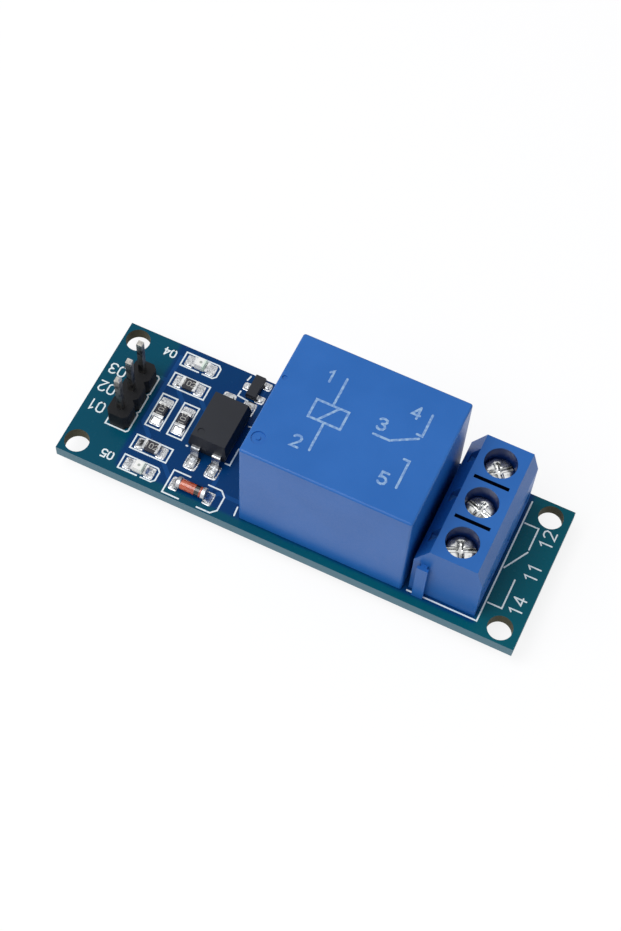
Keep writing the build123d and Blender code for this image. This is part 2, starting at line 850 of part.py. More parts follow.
def diode_glass():
    """The glass tube between the caps, hollow round the die and its two slugs."""
    length = diode_length - 2 * diode_cap_length
    bore = Cylinder(diode_slug_radius + relay_fit, length)
    return diode_place(Cylinder(diode_glass_radius, length) - bore)


def diode_caps():
    """The two plated caps with the slugs that reach in to the die."""
    caps = []
    slug_length = (diode_length - 2 * diode_cap_length - diode_die_size) / 2
    for side in (-1, 1):
        cap_middle = side * (diode_length - diode_cap_length) / 2
        cap = Pos(0, 0, cap_middle) * Cylinder(diode_radius, diode_cap_length)
        cap = fillet(cap.edges(), diode_cap_round)
        slug_middle = side * (diode_die_size + slug_length) / 2
        caps.append(cap + Pos(0, 0, slug_middle) * Cylinder(diode_slug_radius, slug_length))
    return diode_place(Compound(caps))


def diode_die():
    """The silicon die between the slugs."""
    side = diode_slug_radius
    return diode_place(Box(side, side, diode_die_size))


# Solder


def solder_slope(reach, width, height):
    """A hollow-faced fillet of solder that climbs towards -X, on the board at the origin."""
    outline = Polyline((reach, solder_rim), (reach, 0), (0, 0), (0, height))
    hollow = RadiusArc((0, height), (reach, solder_rim), reach * solder_curve)
    face = make_face(Plane.XZ * (outline + hollow))
    return Pos(0, -width / 2, 0) * extrude(face, width, dir=(0, 1, 0))


def surface_solder():
    """The fillets at the ends of every surface part."""
    joints = []
    chip = solder_slope(pad_length, chip_width + solder_overlap_y, chip_solder_height)
    for x, y, turn in (*resistor_places.values(), *lamp_places.values()):
        for flip in (0, 180):
            place = Pos(x, y, board_top) * Rot(0, 0, turn + flip)
            joints.append(place * Pos(chip_length / 2, 0, 0) * chip)
    cap = solder_slope(pad_length, diode_radius * 2, diode_radius)
    for flip in (0, 180):
        place = Pos(diode_x, diode_y, board_top) * Rot(0, 0, flip)
        joints.append(place * Pos(diode_length / 2, 0, 0) * cap)
    foot = solder_slope(opto_solder_reach, opto_lead_width, opto_lead_thickness)
    for turn in (90, -90):
        for side in (-1, 1):
            place = Pos(opto_x + side * opto_lead_pitch / 2, opto_y, board_top)
            joints.append(place * Rot(0, 0, turn) * Pos(opto_span / 2, 0, 0) * foot)
    toe = solder_slope(transistor_foot_length, transistor_lead_width, transistor_lead_thickness)
    half = transistor_lead_pitch / 2
    for turn, offset_y in ((180, 0), (0, -half), (0, half)):
        place = Pos(transistor_x, transistor_y + offset_y, board_top) * Rot(0, 0, turn)
        joints.append(place * Pos(transistor_span / 2, 0, 0) * toe)
    return Compound(joints)


def solder_cone(x, y, hole):
    """A cone of solder under the board around one pin, with the pin's own shape left free."""
    cone = Cone(joint_tip_radius, joint_radius, joint_height, align=STAND)
    return Pos(x, y, -joint_height) * (cone - Box(*hole, joint_height, align=STAND))


def relay_solder():
    """The five joints under the relay."""
    hole = (blade_thickness, pin_width)
    return Compound([solder_cone(x, relay_y + y, hole) for x, y in relay_pins()])


def terminal_solder():
    """The joints under the screw terminal."""
    hole = (terminal_pin_thickness, terminal_pin_width)
    return Compound([solder_cone(well_x, y, hole) for y in pole_places])


def header_solder():
    """The joints under the header."""
    hole = (header_pin_width, header_pin_width)
    return Compound([solder_cone(header_x, y, hole) for y in header_places])


def all_pieces():
    """Every piece by the name of its node."""
    pieces = {
        "circuit_board": circuit_board(),
        "relay_cover": relay_cover(),
        "relay_base": relay_base(),
        "relay_yoke": relay_yoke(),
        "relay_core": relay_core(),
        "relay_bobbin": relay_bobbin(),
        "relay_winding": relay_winding(),
        "relay_coil_pins": relay_coil_pins(),
        "relay_armature": relay_armature(),
        "relay_contact_spring": relay_contact_spring(),
        "relay_moving_contact": relay_moving_contact(),
        "relay_closed_contact": fixed_contact(closed_button),
        "relay_open_contact": fixed_contact(open_button),
        "relay_closed_blade": relay_closed_blade(),
        "relay_open_blade": relay_open_blade(),
        "relay_common_blade": relay_common_blade(),
        "terminal_housing": terminal_housing(),
        "header_body": header_body(),
        "optocoupler_body": optocoupler_body(),
        "optocoupler_leads": optocoupler_leads(),
        "transistor_body": transistor_body(),
        "transistor_leads": transistor_leads(),
        "diode_glass": diode_glass(),
        "diode_caps": diode_caps(),
        "diode_die": diode_die(),
        "surface_solder": surface_solder(),
        "relay_solder": relay_solder(),
        "terminal_solder": terminal_solder(),
        "header_solder": header_solder(),
    }
    for number, y in enumerate(pole_places, 1):
        pieces[f"terminal_frame_{number}"] = terminal_frame(y)
        pieces[f"terminal_plate_{number}"] = terminal_plate(y)
        pieces[f"terminal_screw_{number}"] = terminal_screw(y)
    for number, y in enumerate(header_places, 1):
        pieces[f"header_pin_{number}"] = header_pin(y)
    for number, place in resistor_places.items():
        pieces[f"resistor_{number}_body"] = placed(resistor_body(), place)
        pieces[f"resistor_{number}_ends"] = placed(chip_ends(resistor_height), place)
    for name, place in lamp_places.items():
        pieces[f"{name}_lamp_base"] = placed(lamp_base(), place)
        pieces[f"{name}_lamp_lens"] = placed(lamp_lens(), place)
        pieces[f"{name}_lamp_ends"] = placed(chip_ends(lamp_base_height), place)
    return pieces


os.makedirs("parts", exist_ok=True)
for node, piece in all_pieces().items():
    export_step(piece, f"parts/{node}.step")
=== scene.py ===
"""The finished look of a small relay module board.

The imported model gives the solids. This script adds what an eye sees on them: moulded plastic,
solder mask, print, plating, solder, screw threads and a plain studio. Sizes are millimetres in
the model's own frame: X runs along the board, Y across it and Z up.
"""

import logging
import math
from dataclasses import dataclass
from enum import Enum, IntEnum
from typing import Iterable, Sequence, Union

import bmesh
import bpy
import numpy as np
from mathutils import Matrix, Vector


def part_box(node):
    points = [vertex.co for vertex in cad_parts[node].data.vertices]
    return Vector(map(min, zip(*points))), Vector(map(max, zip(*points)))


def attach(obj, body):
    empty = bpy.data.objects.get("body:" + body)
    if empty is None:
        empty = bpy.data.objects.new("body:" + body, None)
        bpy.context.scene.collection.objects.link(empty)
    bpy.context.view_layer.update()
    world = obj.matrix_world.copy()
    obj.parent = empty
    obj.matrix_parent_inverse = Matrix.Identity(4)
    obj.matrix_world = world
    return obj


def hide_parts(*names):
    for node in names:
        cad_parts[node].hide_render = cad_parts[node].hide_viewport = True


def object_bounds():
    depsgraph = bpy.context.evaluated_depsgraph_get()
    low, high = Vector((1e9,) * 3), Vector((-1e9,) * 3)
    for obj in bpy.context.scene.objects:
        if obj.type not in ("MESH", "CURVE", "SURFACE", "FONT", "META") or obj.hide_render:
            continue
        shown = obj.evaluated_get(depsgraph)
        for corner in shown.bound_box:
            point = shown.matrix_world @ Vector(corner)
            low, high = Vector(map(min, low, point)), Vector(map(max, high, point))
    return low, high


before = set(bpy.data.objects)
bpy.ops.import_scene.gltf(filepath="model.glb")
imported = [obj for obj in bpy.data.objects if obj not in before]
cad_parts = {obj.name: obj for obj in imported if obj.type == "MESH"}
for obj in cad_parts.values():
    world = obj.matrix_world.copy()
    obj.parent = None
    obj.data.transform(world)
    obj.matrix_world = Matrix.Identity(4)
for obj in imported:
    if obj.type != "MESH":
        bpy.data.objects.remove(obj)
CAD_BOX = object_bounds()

LOG = logging.getLogger("relay_board")
MM = 0.001
FULL_TURN = 2 * math.pi

# The body that all fixed pieces ride on, and the numbers in the names of repeated nodes
BOARD = "board"
RESISTORS = (1, 2, 3, 4)
PINS = (1, 2, 3)
POLES = (1, 2, 3)

# How deep print, tracks and solder sit in the face under them, so that no gap shows
BURIED = 0.004

# How near two places have to be to count as one, on a track and in a mesh
SNAP = 0.05
MERGE = 1e-4

# What noise wanders about, and the stretch that leaves height out of a distance
NOISE_MIDDLE = 0.5
ON_PLAN = (1, 1, 0)

# How far the pale colour of the board's cut edge reaches in
RIM_DEPTH = 0.02


class Lamp(Enum):
    """The two indicator lamps."""

    POWER = "power"
    SWITCH = "switch"

    def part(self, piece: str) -> str:
        """The name of one of the lamp's nodes."""
        return f"{self.value}_lamp_{piece}"


class Slot(Enum):
    """The names of some of the model's material slots."""

    SOLDER_MASK = "solder_mask"
    SOLDER_JOINT = "solder_joint"
    SCREW_ZINC = "screw_zinc"


class Corner(Enum):
    """The corners of a part seen from above, as shares of its length and width."""

    NEAR_LEFT = (0, 0)
    NEAR_RIGHT = (1, 0)
    FAR_LEFT = (0, 1)
    FAR_RIGHT = (1, 1)


class Maths(Enum):
    """The operations of the Math node that the finishes use."""

    ADD = "ADD"
    SUBTRACT = "SUBTRACT"
    MULTIPLY = "MULTIPLY"
    SIZE = "ABSOLUTE"
    SINE = "SINE"
    LARGER = "MAXIMUM"


class VectorMaths(Enum):
    """The operations of the Vector Math node that the finishes use."""

    SUBTRACT = "SUBTRACT"
    MULTIPLY = "MULTIPLY"
    SCALE = "SCALE"
    LENGTH = "LENGTH"


class MixSocket(IntEnum):
    """The places of a Mix node's sockets when it mixes colours."""

    FACTOR = 0
    FIRST = 6
    SECOND = 7
    RESULT = 2


# Colours, values and nodes


@dataclass(frozen=True)
class Colour:
    """A colour as a screen shows it, each part from 0 to 255."""

    red: float
    green: float
    blue: float

    def linear(self) -> tuple[float, ...]:
        """The colour in the renderer's linear light.

        A part under 0.04045 is divided by 12.92, and any other is raised to the power 2.4 after
        0.055 is added and the sum divided by 1.055.

        Returns:
            Red, green, blue and a full alpha.
        """
        parts = np.array([self.red, self.green, self.blue]) / 255
        curve = ((parts + 0.055) / 1.055) ** 2.4
        return (*np.where(parts <= 0.04045, parts / 12.92, curve).tolist(), 1.0)


WHITE = Colour(255, 255, 255)


class Value:
    """A number that changes over a surface. Python operators on it add Math nodes."""

    def __init__(self, kit: "NodeKit", socket: bpy.types.NodeSocket) -> None:
        self.kit = kit
        self.socket = socket

    def __add__(self, other: "Number") -> "Value":
        """This value plus another."""
        return self.kit.calculate(Maths.ADD, self, other)

    def __radd__(self, other: "Number") -> "Value":
        """A number plus this value."""
        return self.kit.calculate(Maths.ADD, other, self)

    def __sub__(self, other: "Number") -> "Value":
        """This value minus another."""
        return self.kit.calculate(Maths.SUBTRACT, self, other)

    def __rsub__(self, other: "Number") -> "Value":
        """A number minus this value."""
        return self.kit.calculate(Maths.SUBTRACT, other, self)

    def __mul__(self, other: "Number") -> "Value":
        """This value times another."""
        return self.kit.calculate(Maths.MULTIPLY, self, other)

    def __rmul__(self, other: "Number") -> "Value":
        """A number times this value."""
        return self.kit.calculate(Maths.MULTIPLY, other, self)

    def __abs__(self) -> "Value":
        """The size of this value without its sign."""
        return self.kit.calculate(Maths.SIZE, self)

    def wave(self) -> "Value":
        """The sine of this value, an angle in radians."""
        return self.kit.calculate(Maths.SINE, self)

    def either(self, other: "Value") -> "Value":
        """The larger of this value and another, which joins two masks."""
        return self.kit.calculate(Maths.LARGER, self, other)

    def above(self, edge: float, softness: float) -> "Value":
        """Rises smoothly from 0 to 1 as this value passes an edge.

        Args:
            edge: the value at which the result is one half.
            softness: how far on each side of the edge the rise reaches.

        Returns:
            The mask.
        """
        node = self.kit.add(
            "ShaderNodeMapRange",
            {"interpolation_type": "SMOOTHSTEP"},
            {"Value": self, "From Min": edge - softness, "From Max": edge + softness},
        )
        return Value(self.kit, node.outputs["Result"])

    def below(self, edge: float, softness: float) -> "Value":
        """Falls smoothly from 1 to 0 as this value passes an edge."""
        return 1 - self.above(edge, softness)


Number = Union[Value, float]
Fed = Union[Value, float, Colour, bpy.types.NodeSocket, Sequence[float]]
Place = Sequence[float]
Path = Sequence[Place]
Settings = dict[str, Union[str, int, float, bool]]
Inputs = dict[Union[int, str], Fed]


class NodeKit:
    """Adds nodes to any tree."""

    def __init__(self, tree: bpy.types.NodeTree) -> None:
        """Holds the tree that the nodes go into."""
        self.tree = tree

    def add(
        self, kind: str, settings: Settings | None = None, inputs: Inputs | None = None
    ) -> bpy.types.Node:
        """Adds a node of any type.

        Args:
            kind: the node's type name.
            settings: the node's own properties, which are set first.
            inputs: what each input socket holds or is linked to, by name or number.

        Returns:
            The new node.
        """
        node = self.tree.nodes.new(kind)
        for name, value in (settings or {}).items():
            setattr(node, name, value)
        for key, value in (inputs or {}).items():
            self.feed(node.inputs[key], value)
        return node

    def feed(self, socket: bpy.types.NodeSocket, value: Fed) -> None:
        """Links a varying value to a socket, or writes a constant on it.

        Args:
            socket: the input socket.
            value: a value or socket to link, or a number, vector or colour to write.
        """
        if isinstance(value, Value):
            value = value.socket
        if isinstance(value, bpy.types.NodeSocket):
            self.tree.links.new(value, socket)
        else:
            socket.default_value = value.linear() if isinstance(value, Colour) else value

    def calculate(self, operation: Maths, *values: Number) -> Value:
        """One Math node on the given values, in order."""
        node = self.add("ShaderNodeMath", {"operation": operation.value}, dict(enumerate(values)))
        return Value(self, node.outputs[0])

    def seen_directly(self) -> Value:
        """One for camera, mirror and glass rays, nothing for light that matt surfaces scatter.

        Returns:
            The mask.
        """
        path = self.add("ShaderNodeLightPath").outputs
        camera, mirror, glass = (
            Value(self, path[f"Is {ray} Ray"]) for ray in ("Camera", "Glossy", "Transmission")
        )
        return camera.either(mirror).either(glass)

    def show(self, output: str, bounced: bpy.types.Node, seen: bpy.types.Node) -> None:
        """Ends the tree in two shaders, one that lights things and one that is seen.

        Args:
            output: the name of the tree's output node.
            bounced: the shader for light that bounces.
            seen: the shader for what camera, mirror and glass rays meet.
        """
        shaders = {0: self.seen_directly(), 1: bounced.outputs[0], 2: seen.outputs[0]}
        mixed = self.add("ShaderNodeMixShader", inputs=shaders)
        self.feed(self.tree.nodes[output].inputs["Surface"], mixed.outputs[0])


class MaterialKit(NodeKit):
    """Builds the nodes of one material, with lengths in millimetres."""

    def __init__(self, name: str) -> None:
        """Starts a material with one Principled shader.

        Args:
            name: the material's name.
        """
        self.material = bpy.data.materials.new(name)
        self.material.use_nodes = True
        super().__init__(self.material.node_tree)
        self.shader = self.tree.nodes["Principled BSDF"]
        places = self.add("ShaderNodeTexCoord").outputs["Object"]
        self.place = self.vector(VectorMaths.SCALE, {0: places, "Scale": 1 / MM})

    def shader_inputs(self, inputs: Inputs) -> None:
        """Sets the Principled shader's sockets."""
        for name, value in inputs.items():
            self.feed(self.shader.inputs[name], value)

    def vector(self, operation: VectorMaths, inputs: Inputs) -> bpy.types.NodeSocket:
        """The vector that a Vector Math node gives."""
        return self.add("ShaderNodeVectorMath", {"operation": operation.value}, inputs).outputs["Vector"]

    def split(self, vector: bpy.types.NodeSocket) -> list[Value]:
        """The three parts of a vector."""
        node = self.add("ShaderNodeSeparateXYZ", inputs={0: vector})
        return [Value(self, socket) for socket in node.outputs]

    def axes(self) -> list[Value]:
        """The point's X, Y and Z in millimetres."""
        return self.split(self.place)

    def facing(self) -> list[Value]:
        """The parts of the direction that the surface faces."""
        return self.split(self.add("ShaderNodeNewGeometry").outputs["Normal"])

    def distance(self, centre: Place, stretch: Sequence[float] = (1, 1, 1)) -> Value:
        """How far the point lies from a centre.

        Args:
            centre: the place that the distance is measured from.
            stretch: the factor by which each axis counts.

        Returns:
            The distance in millimetres.
        """
        offset = self.vector(VectorMaths.SUBTRACT, {0: self.place, 1: centre})
        scaled = self.vector(VectorMaths.MULTIPLY, {0: offset, 1: stretch})
        length = self.add("ShaderNodeVectorMath", {"operation": VectorMaths.LENGTH.value}, {0: scaled})
        return Value(self, length.outputs["Value"])

    def noise(self, size: float, detail: float = 2, stretch: Sequence[float] = (1, 1, 1)) -> Value:
        """Cloudy noise from 0 to 1.

        Args:
            size: how wide one cloud is.
            detail: how many finer layers it carries.
            stretch: how many times longer a cloud is along each axis.

        Returns:
            The noise value.
        """
        factors = [1 / (size * part) for part in stretch]
        scaled = self.vector(VectorMaths.MULTIPLY, {0: self.place, 1: factors})
        node = self.add("ShaderNodeTexNoise", inputs={"Vector": scaled, "Scale": 1.0, "Detail": detail})
        return Value(self, node.outputs["Fac"])

    def cells(self, size: float) -> Value:
        """Distance to the nearest of many scattered points, in cell widths."""
        node = self.add("ShaderNodeTexVoronoi", inputs={"Vector": self.place, "Scale": 1 / size})
        return Value(self, node.outputs["Distance"])

    def mix(self, factor: Value, first: Fed, second: Fed) -> bpy.types.NodeSocket:
        """A colour that goes from the first to the second as the factor goes from 0 to 1."""
        inputs = {MixSocket.FACTOR: factor, MixSocket.FIRST: first, MixSocket.SECOND: second}
        return self.add("ShaderNodeMix", {"data_type": "RGBA"}, inputs).outputs[MixSocket.RESULT]

    def bump(self, height: Value) -> bpy.types.NodeSocket:
        """A normal that leans as a surface of this height in millimetres would."""
        node = self.add("ShaderNodeBump", inputs={"Height": height, "Distance": MM})
        return node.outputs["Normal"]


# Finishes


@dataclass(frozen=True)
class Finish:
    """A look that a piece wears. Each kind paints its own nodes."""

    name: str

    def paint(self, kit: MaterialKit) -> None:
        """Adds the nodes of this finish to a material."""
        raise NotImplementedError

    def material(self) -> bpy.types.Material:
        """Makes the material of this finish, once for each name.

        Returns:
            The new material, or the one that already has this name.
        """
        known = bpy.data.materials.get(self.name)
        if known:
            return known
        kit = MaterialKit(self.name)
        self.paint(kit)
        return kit.material


@dataclass(frozen=True)
class MouldedPlastic(Finish):
    """Moulded plastic: an even colour with faint flow clouds, fine grain and a soft sheen."""

    body: Colour
    cloud: Colour
    roughness: float = 0.42
    grain_size: float = 0.16
    grain_depth: float = 0.006
    grain_sheen: float = 0.3
    flow_size: float = 7.0
    flow_blend: float = 0.22
    shine: float = 0.3

    def paint(self, kit: MaterialKit) -> None:
        """Colour and sheen from wide clouds, grain from fine noise.

        Args:
            kit: the nodes of the material.
        """
        flow = kit.noise(self.flow_size, detail=3)
        grain = kit.noise(self.grain_size, detail=3)
        flow_depth = self.grain_depth * 2
        kit.shader_inputs({
            "Base Color": kit.mix(flow.above(NOISE_MIDDLE, self.flow_blend), self.body, self.cloud),
            "Roughness": (grain - NOISE_MIDDLE) * self.grain_sheen + self.roughness,
            "Specular IOR Level": self.shine,
            "Normal": kit.bump(grain * self.grain_depth + flow * flow_depth),
        })


@dataclass(frozen=True)
class BoredPlastic(MouldedPlastic):
    """Moulded plastic with painted shade on the walls of its upright bores and in the slots between them.
    """

    bores: tuple[tuple[float, float], ...] = ()
    bore_radius: float = 1.8
    bore_depth: float = 0.12
    bore_fade: float = 0.1
    bore_share: float = 0.95
    slot_length: float = 3.95
    slot_width: float = 0.42
    slot_depth: float = 0.04
    slot_fade: float = 0.03
    wall_reach: float = 0.12
    wall_blend: float = 0.06
    rim_height: float = 0.0
    # Painted shade: the darker colours of the bore walls and of the slots, where little light reaches
    bore_painted_shade: Colour = Colour(4, 36, 98)
    slot_painted_shade: Colour = Colour(2, 10, 30)

    def paint(self, kit: MaterialKit) -> None:
        """The plain plastic, then the darker colours of painted shade below the rim and inside each bore or
        slot.

        Args:
            kit: the nodes of the material.
        """
        super().paint(kit)
        base = kit.shader.inputs["Base Color"]
        colour = base.links[0].from_socket
        along, across, height = kit.axes()
        shaded_in_bores = height.below(self.rim_height - self.bore_depth, self.bore_fade) * self.bore_share
        shaded_in_slots = height.below(self.rim_height - self.slot_depth, self.slot_fade)
        # Painted shade inside each bore, then in each slot between two bores
        for x, y in self.bores:
            away = kit.distance((x, y, 0), ON_PLAN)
            inside = away.below(self.bore_radius + self.wall_reach, self.wall_blend)
            colour = kit.mix(inside * shaded_in_bores, colour, self.bore_painted_shade)
        for (x, y), (_, next_y) in zip(self.bores, self.bores[1:]):
            half_length, half_width = self.slot_length / 2, self.slot_width / 2
            inside = abs(along - x).below(half_length + self.wall_reach, self.wall_blend)
            between = abs(across - (y + next_y) / 2).below(half_width + self.wall_reach, self.wall_blend)
            colour = kit.mix(inside * between * shaded_in_slots, colour, self.slot_painted_shade)
        kit.feed(base, colour)


@dataclass(frozen=True)
class SolderMask(Finish):
    """Glossy lacquer over copper and glass laminate.

    The lacquer is deep blue over the copper area and greener where it lies on bare laminate. The
    board's outer edge shows pale laminate, and the walls of the holes show it brown.
    """

    over_copper: Colour
    over_laminate: Colour
    far_end: Colour
    cut_edge: Colour
    hole_wall: Colour
    copper_left: float
    copper_right: float
    copper_near: float
    rim: tuple[float, float, float, float]
    drift_size: float = 5.0
    drift_depth: float = 0.02
    weave_size: float = 0.5
    weave_stretch: float = 6.0
    weave_depth: float = 0.004
    weave_sheen: float = 0.08
    left_blend: float = 0.35
    near_blend: float = 0.3
    right_blend: float = 0.4
    near_drift: float = 0.6
    copper_skew: float = 0.03
    copper_cloud: float = 0.25
    far_blend: float = 8.0
    face_edge: float = 0.5
    face_blend: float = 0.1
    face_roughness: float = 0.26
    wall_roughness: float = 0.62
    shine: float = 0.1

    def on_copper(self, x: Value, y: Value, drift: Value) -> Value:
        """One where copper lies under the lacquer, with edges that wander a little.

        Args:
            x: the place along the board.
            y: the place across it.
            drift: slow noise about nothing.

        Returns:
            The mask.
        """
        inside = (x + y * self.copper_skew + drift).above(self.copper_left, self.left_blend)
        inside = inside * (y + drift * self.near_drift).above(self.copper_near, self.near_blend)
        return inside * (x + drift).below(self.copper_right, self.right_blend)

    def on_rim(self, x: Value, y: Value) -> Value:
        """One on the board's outer edge, nothing on the walls of its holes.

        Args:
            x: the place along the board.
            y: the place across it.

        Returns:
            The mask.
        """
        left, right, near, far = self.rim
        ends = x.below(left, RIM_DEPTH).either(x.above(right, RIM_DEPTH))
        return ends.either(y.below(near, RIM_DEPTH)).either(y.above(far, RIM_DEPTH))

    def paint(self, kit: MaterialKit) -> None:
        """Areas by place on the board, edge and hole walls by the way the surface faces.

        Args:
            kit: the nodes of the material.
        """
        x, y, _ = kit.axes()
        flat = abs(kit.facing()[2]).above(self.face_edge, self.face_blend)
        drift = kit.noise(self.drift_size) - NOISE_MIDDLE
        warp = kit.noise(self.weave_size, detail=1, stretch=(self.weave_stretch, 1, 1))
        weft = kit.noise(self.weave_size, detail=1, stretch=(1, self.weave_stretch, 1))
        weave = warp + weft
        laminate = kit.mix(x.above(0, self.far_blend), self.over_laminate, self.far_end)
        copper = self.on_copper(x, y, drift) * (1 - drift * self.copper_cloud)
        lacquer = kit.mix(copper, laminate, self.over_copper)
        wall = kit.mix(self.on_rim(x, y), self.hole_wall, self.cut_edge)
        smoother = self.wall_roughness - self.face_roughness
        kit.shader_inputs({
            "Base Color": kit.mix(flat, wall, lacquer),
            "Roughness": self.wall_roughness - flat * smoother + (weave - 1) * self.weave_sheen,
            "Specular IOR Level": self.shine,
            "Normal": kit.bump(weave * self.weave_depth + drift * self.drift_depth),
        })


@dataclass(frozen=True)
class BareMetal(Finish):
    """Worked or plated metal with fine lines along one axis and a little tarnish; on the header pins, a
    painted highlight at the tips and painted shade below them.
    """

    bright: Colour
    tarnish_and_shade: Colour
    roughness: float = 0.28
    line_size: float = 0.05
    line_stretch: tuple[float, float, float] = (12, 1, 1)
    line_depth: float = 0.003
    patch_size: float = 0.9
    patch_edge: float = 0.55
    patch_blend: float = 0.12
    sheen: float = 0.12
    # On the header pins: a painted highlight at the tips, and painted shade that pushes the rest towards
    # the dark colour
    highlight_above: float | None = None
    highlight_blend: float = 0.25
    highlight_share: float = 0.6

    def paint(self, kit: MaterialKit) -> None:
        """Lines by stretched noise, tarnish by wide noise and, on pins, painted shade below a painted
        highlight at their tips.

        Args:
            kit: the nodes of the material.
        """
        lines = kit.noise(self.line_size, stretch=self.line_stretch)
        patches = kit.noise(self.patch_size, detail=4).above(self.patch_edge, self.patch_blend)
        if self.highlight_above is not None:
            tip = kit.axes()[2].above(self.highlight_above, self.highlight_blend)
            patches = 1 - (1 - patches) * (1 - self.highlight_share) - tip * self.highlight_share
        kit.shader_inputs({
            "Base Color": kit.mix(patches, self.bright, self.tarnish_and_shade),
            "Metallic": 1.0,
            "Roughness": (patches + lines - NOISE_MIDDLE) * self.sheen + self.roughness,
            "Normal": kit.bump(lines * self.line_depth),
        })


@dataclass(frozen=True)
class SolderFinish(Finish):
    """Soft solder: bright and rounded, frosted in patches, with a trace of dried flux."""

    bright: Colour
    frosted: Colour
    flux: Colour
    grain_size: float = 0.14
    grain_depth: float = 0.02
    ripple_size: float = 0.308
    ripple_depth: float = 0.012
    flux_size: float = 1.3
    flux_edge: float = 0.68
    flux_blend: float = 0.06
    flux_share: float = 0.5
    flux_dulling: float = 0.4
    frost_blend: float = 0.15
    frost_sheen: float = 0.3
    smoothest: float = 0.12

    def paint(self, kit: MaterialKit) -> None:
        """Frost by cells and noise, flux where wide noise is highest.

        Args:
            kit: the nodes of the material.
        """
        frost = kit.noise(self.grain_size, detail=3)
        ripple = kit.cells(self.ripple_size)
        stained = kit.noise(self.flux_size, detail=3).above(self.flux_edge, self.flux_blend)
        silver = kit.mix(frost.above(NOISE_MIDDLE, self.frost_blend), self.bright, self.frosted)
        kit.shader_inputs({
            "Base Color": kit.mix(stained * self.flux_share, silver, self.flux),
            "Metallic": 1 - stained * self.flux_dulling,
            "Roughness": frost * self.frost_sheen + self.smoothest,
            "Normal": kit.bump(frost * self.grain_depth + ripple * self.ripple_depth),
        })


@dataclass(frozen=True)
class PrintedInk(Finish):
    """Screen-printed ink: matt, a little thin in places and slightly uneven at its edges."""

    ink: Colour
    thin: Colour
    thin_edge: float = 0.6
    thin_blend: float = 0.1
    wear_size: float = 0.35
    film_size: float = 0.06
    film_depth: float = 0.004
    film_sheen: float = 0.2
    smoothest: float = 0.45

    def paint(self, kit: MaterialKit) -> None:
        """Thin places by noise, film texture by finer noise.

        Args:
            kit: the nodes of the material.
        """
        wear = kit.noise(self.wear_size, detail=3).above(self.thin_edge, self.thin_blend)
        film = kit.noise(self.film_size)
        kit.shader_inputs({
            "Base Color": kit.mix(wear, self.ink, self.thin),
            "Roughness": film * self.film_sheen + self.smoothest,
            "Normal": kit.bump(film * self.film_depth),
        })


@dataclass(frozen=True)
class Winding(Finish):
    """Enamelled wire laid in close turns, each turn a small ridge, with painted shade in the grooves
    between turns.
    """

    crown: Colour
    groove_painted_shade: Colour
    wire_pitch: float = 0.12
    ridge_depth: float = 0.03
    wander: float = 0.05
    wander_size: float = 2.0
    metal: float = 0.75
    roughness: float = 0.42
    ridge_sheen: float = 0.16
    enamel: float = 0.6

    def paint(self, kit: MaterialKit) -> None:
        """Ridge = the sine of the height over the wire's pitch, with a slow wander; the grooves between
        ridges take a darker colour as painted shade.

        Args:
            kit: the nodes of the material.
        """
        height = kit.axes()[2] + kit.noise(self.wander_size) * self.wander
        ridge = (height * (FULL_TURN / self.wire_pitch)).wave() * 0.5 + 0.5
        # The groove colour is painted shade in the creases between turns
        kit.shader_inputs({
            "Base Color": kit.mix(ridge, self.groove_painted_shade, self.crown),
            "Metallic": self.metal,
            "Roughness": self.roughness - ridge * self.ridge_sheen,
            "Coat Weight": self.enamel,
            "Normal": kit.bump(ridge * self.ridge_depth),
        })


@dataclass(frozen=True)
class LampResin(Finish):
    """Cast lamp resin, milky, greener towards one end, with the light chip as a dark dot."""

    milk: Colour
    green: Colour
    chip: Colour
    centres: tuple[tuple[float, float, float], ...]
    chip_radius: float = 0.17
    chip_blend: float = 0.05
    chip_share: float = 0.7
    green_offset: float = 0.35
    green_blend: float = 0.3
    haze_size: float = 0.4
    haze_depth: float = 0.01
    haze_share: float = 0.6
    haze_sheen: float = 0.15
    smoothest: float = 0.14
    gloss: float = 0.4

    def paint(self, kit: MaterialKit) -> None:
        """Green by distance past the lamps' middle, the dot by distance from each middle.

        Args:
            kit: the nodes of the material.
        """
        x = kit.axes()[0]
        haze = kit.noise(self.haze_size)
        away = [kit.distance(centre, ON_PLAN) for centre in self.centres]
        first, second = (distance.below(self.chip_radius, self.chip_blend) for distance in away)
        green_end = x.above(self.centres[0][0] + self.green_offset, self.green_blend)
        clouded = green_end * (haze * self.haze_share + (1 - self.haze_share))
        resin = kit.mix(clouded, self.milk, self.green)
        kit.shader_inputs({
            "Base Color": kit.mix(first.either(second) * self.chip_share, resin, self.chip),
            "Roughness": haze * self.haze_sheen + self.smoothest,
            "Coat Weight": self.gloss,
            "Normal": kit.bump(haze * self.haze_depth),
        })


@dataclass(frozen=True)
class TintedGlass(Finish):
    """A sealed glass tube, orange red, with one dark polarity band round it."""

    glass: Colour
    deep: Colour
    band: Colour
    band_x: float
    band_width: float
    clear: float = 0.35
    index: float = 1.5
    gloss: float = 0.8
    streak_size: float = 0.5
    streak_stretch: tuple[float, float, float] = (3, 1, 1)
    streak_blend: float = 0.2
    streak_depth: float = 0.012
    streak_sheen: float = 0.08
    band_blend: float = 0.03
    smoothest: float = 0.05

    def paint(self, kit: MaterialKit) -> None:
        """Depth of colour by noise along the tube, the band by place along it.

        Args:
            kit: the nodes of the material.
        """
        x, _, _ = kit.axes()
        streak = kit.noise(self.streak_size, detail=3, stretch=self.streak_stretch)
        banded = abs(x - self.band_x).below(self.band_width / 2, self.band_blend)
        tube = kit.mix(streak.above(NOISE_MIDDLE, self.streak_blend), self.glass, self.deep)
        kit.shader_inputs({
            "Base Color": kit.mix(banded, tube, self.band),
            "Roughness": streak * self.streak_sheen + self.smoothest,
            "Transmission Weight": self.clear,
            "IOR": self.index,
            "Coat Weight": self.gloss,
            "Normal": kit.bump(streak * self.streak_depth),
        })


# Meshes


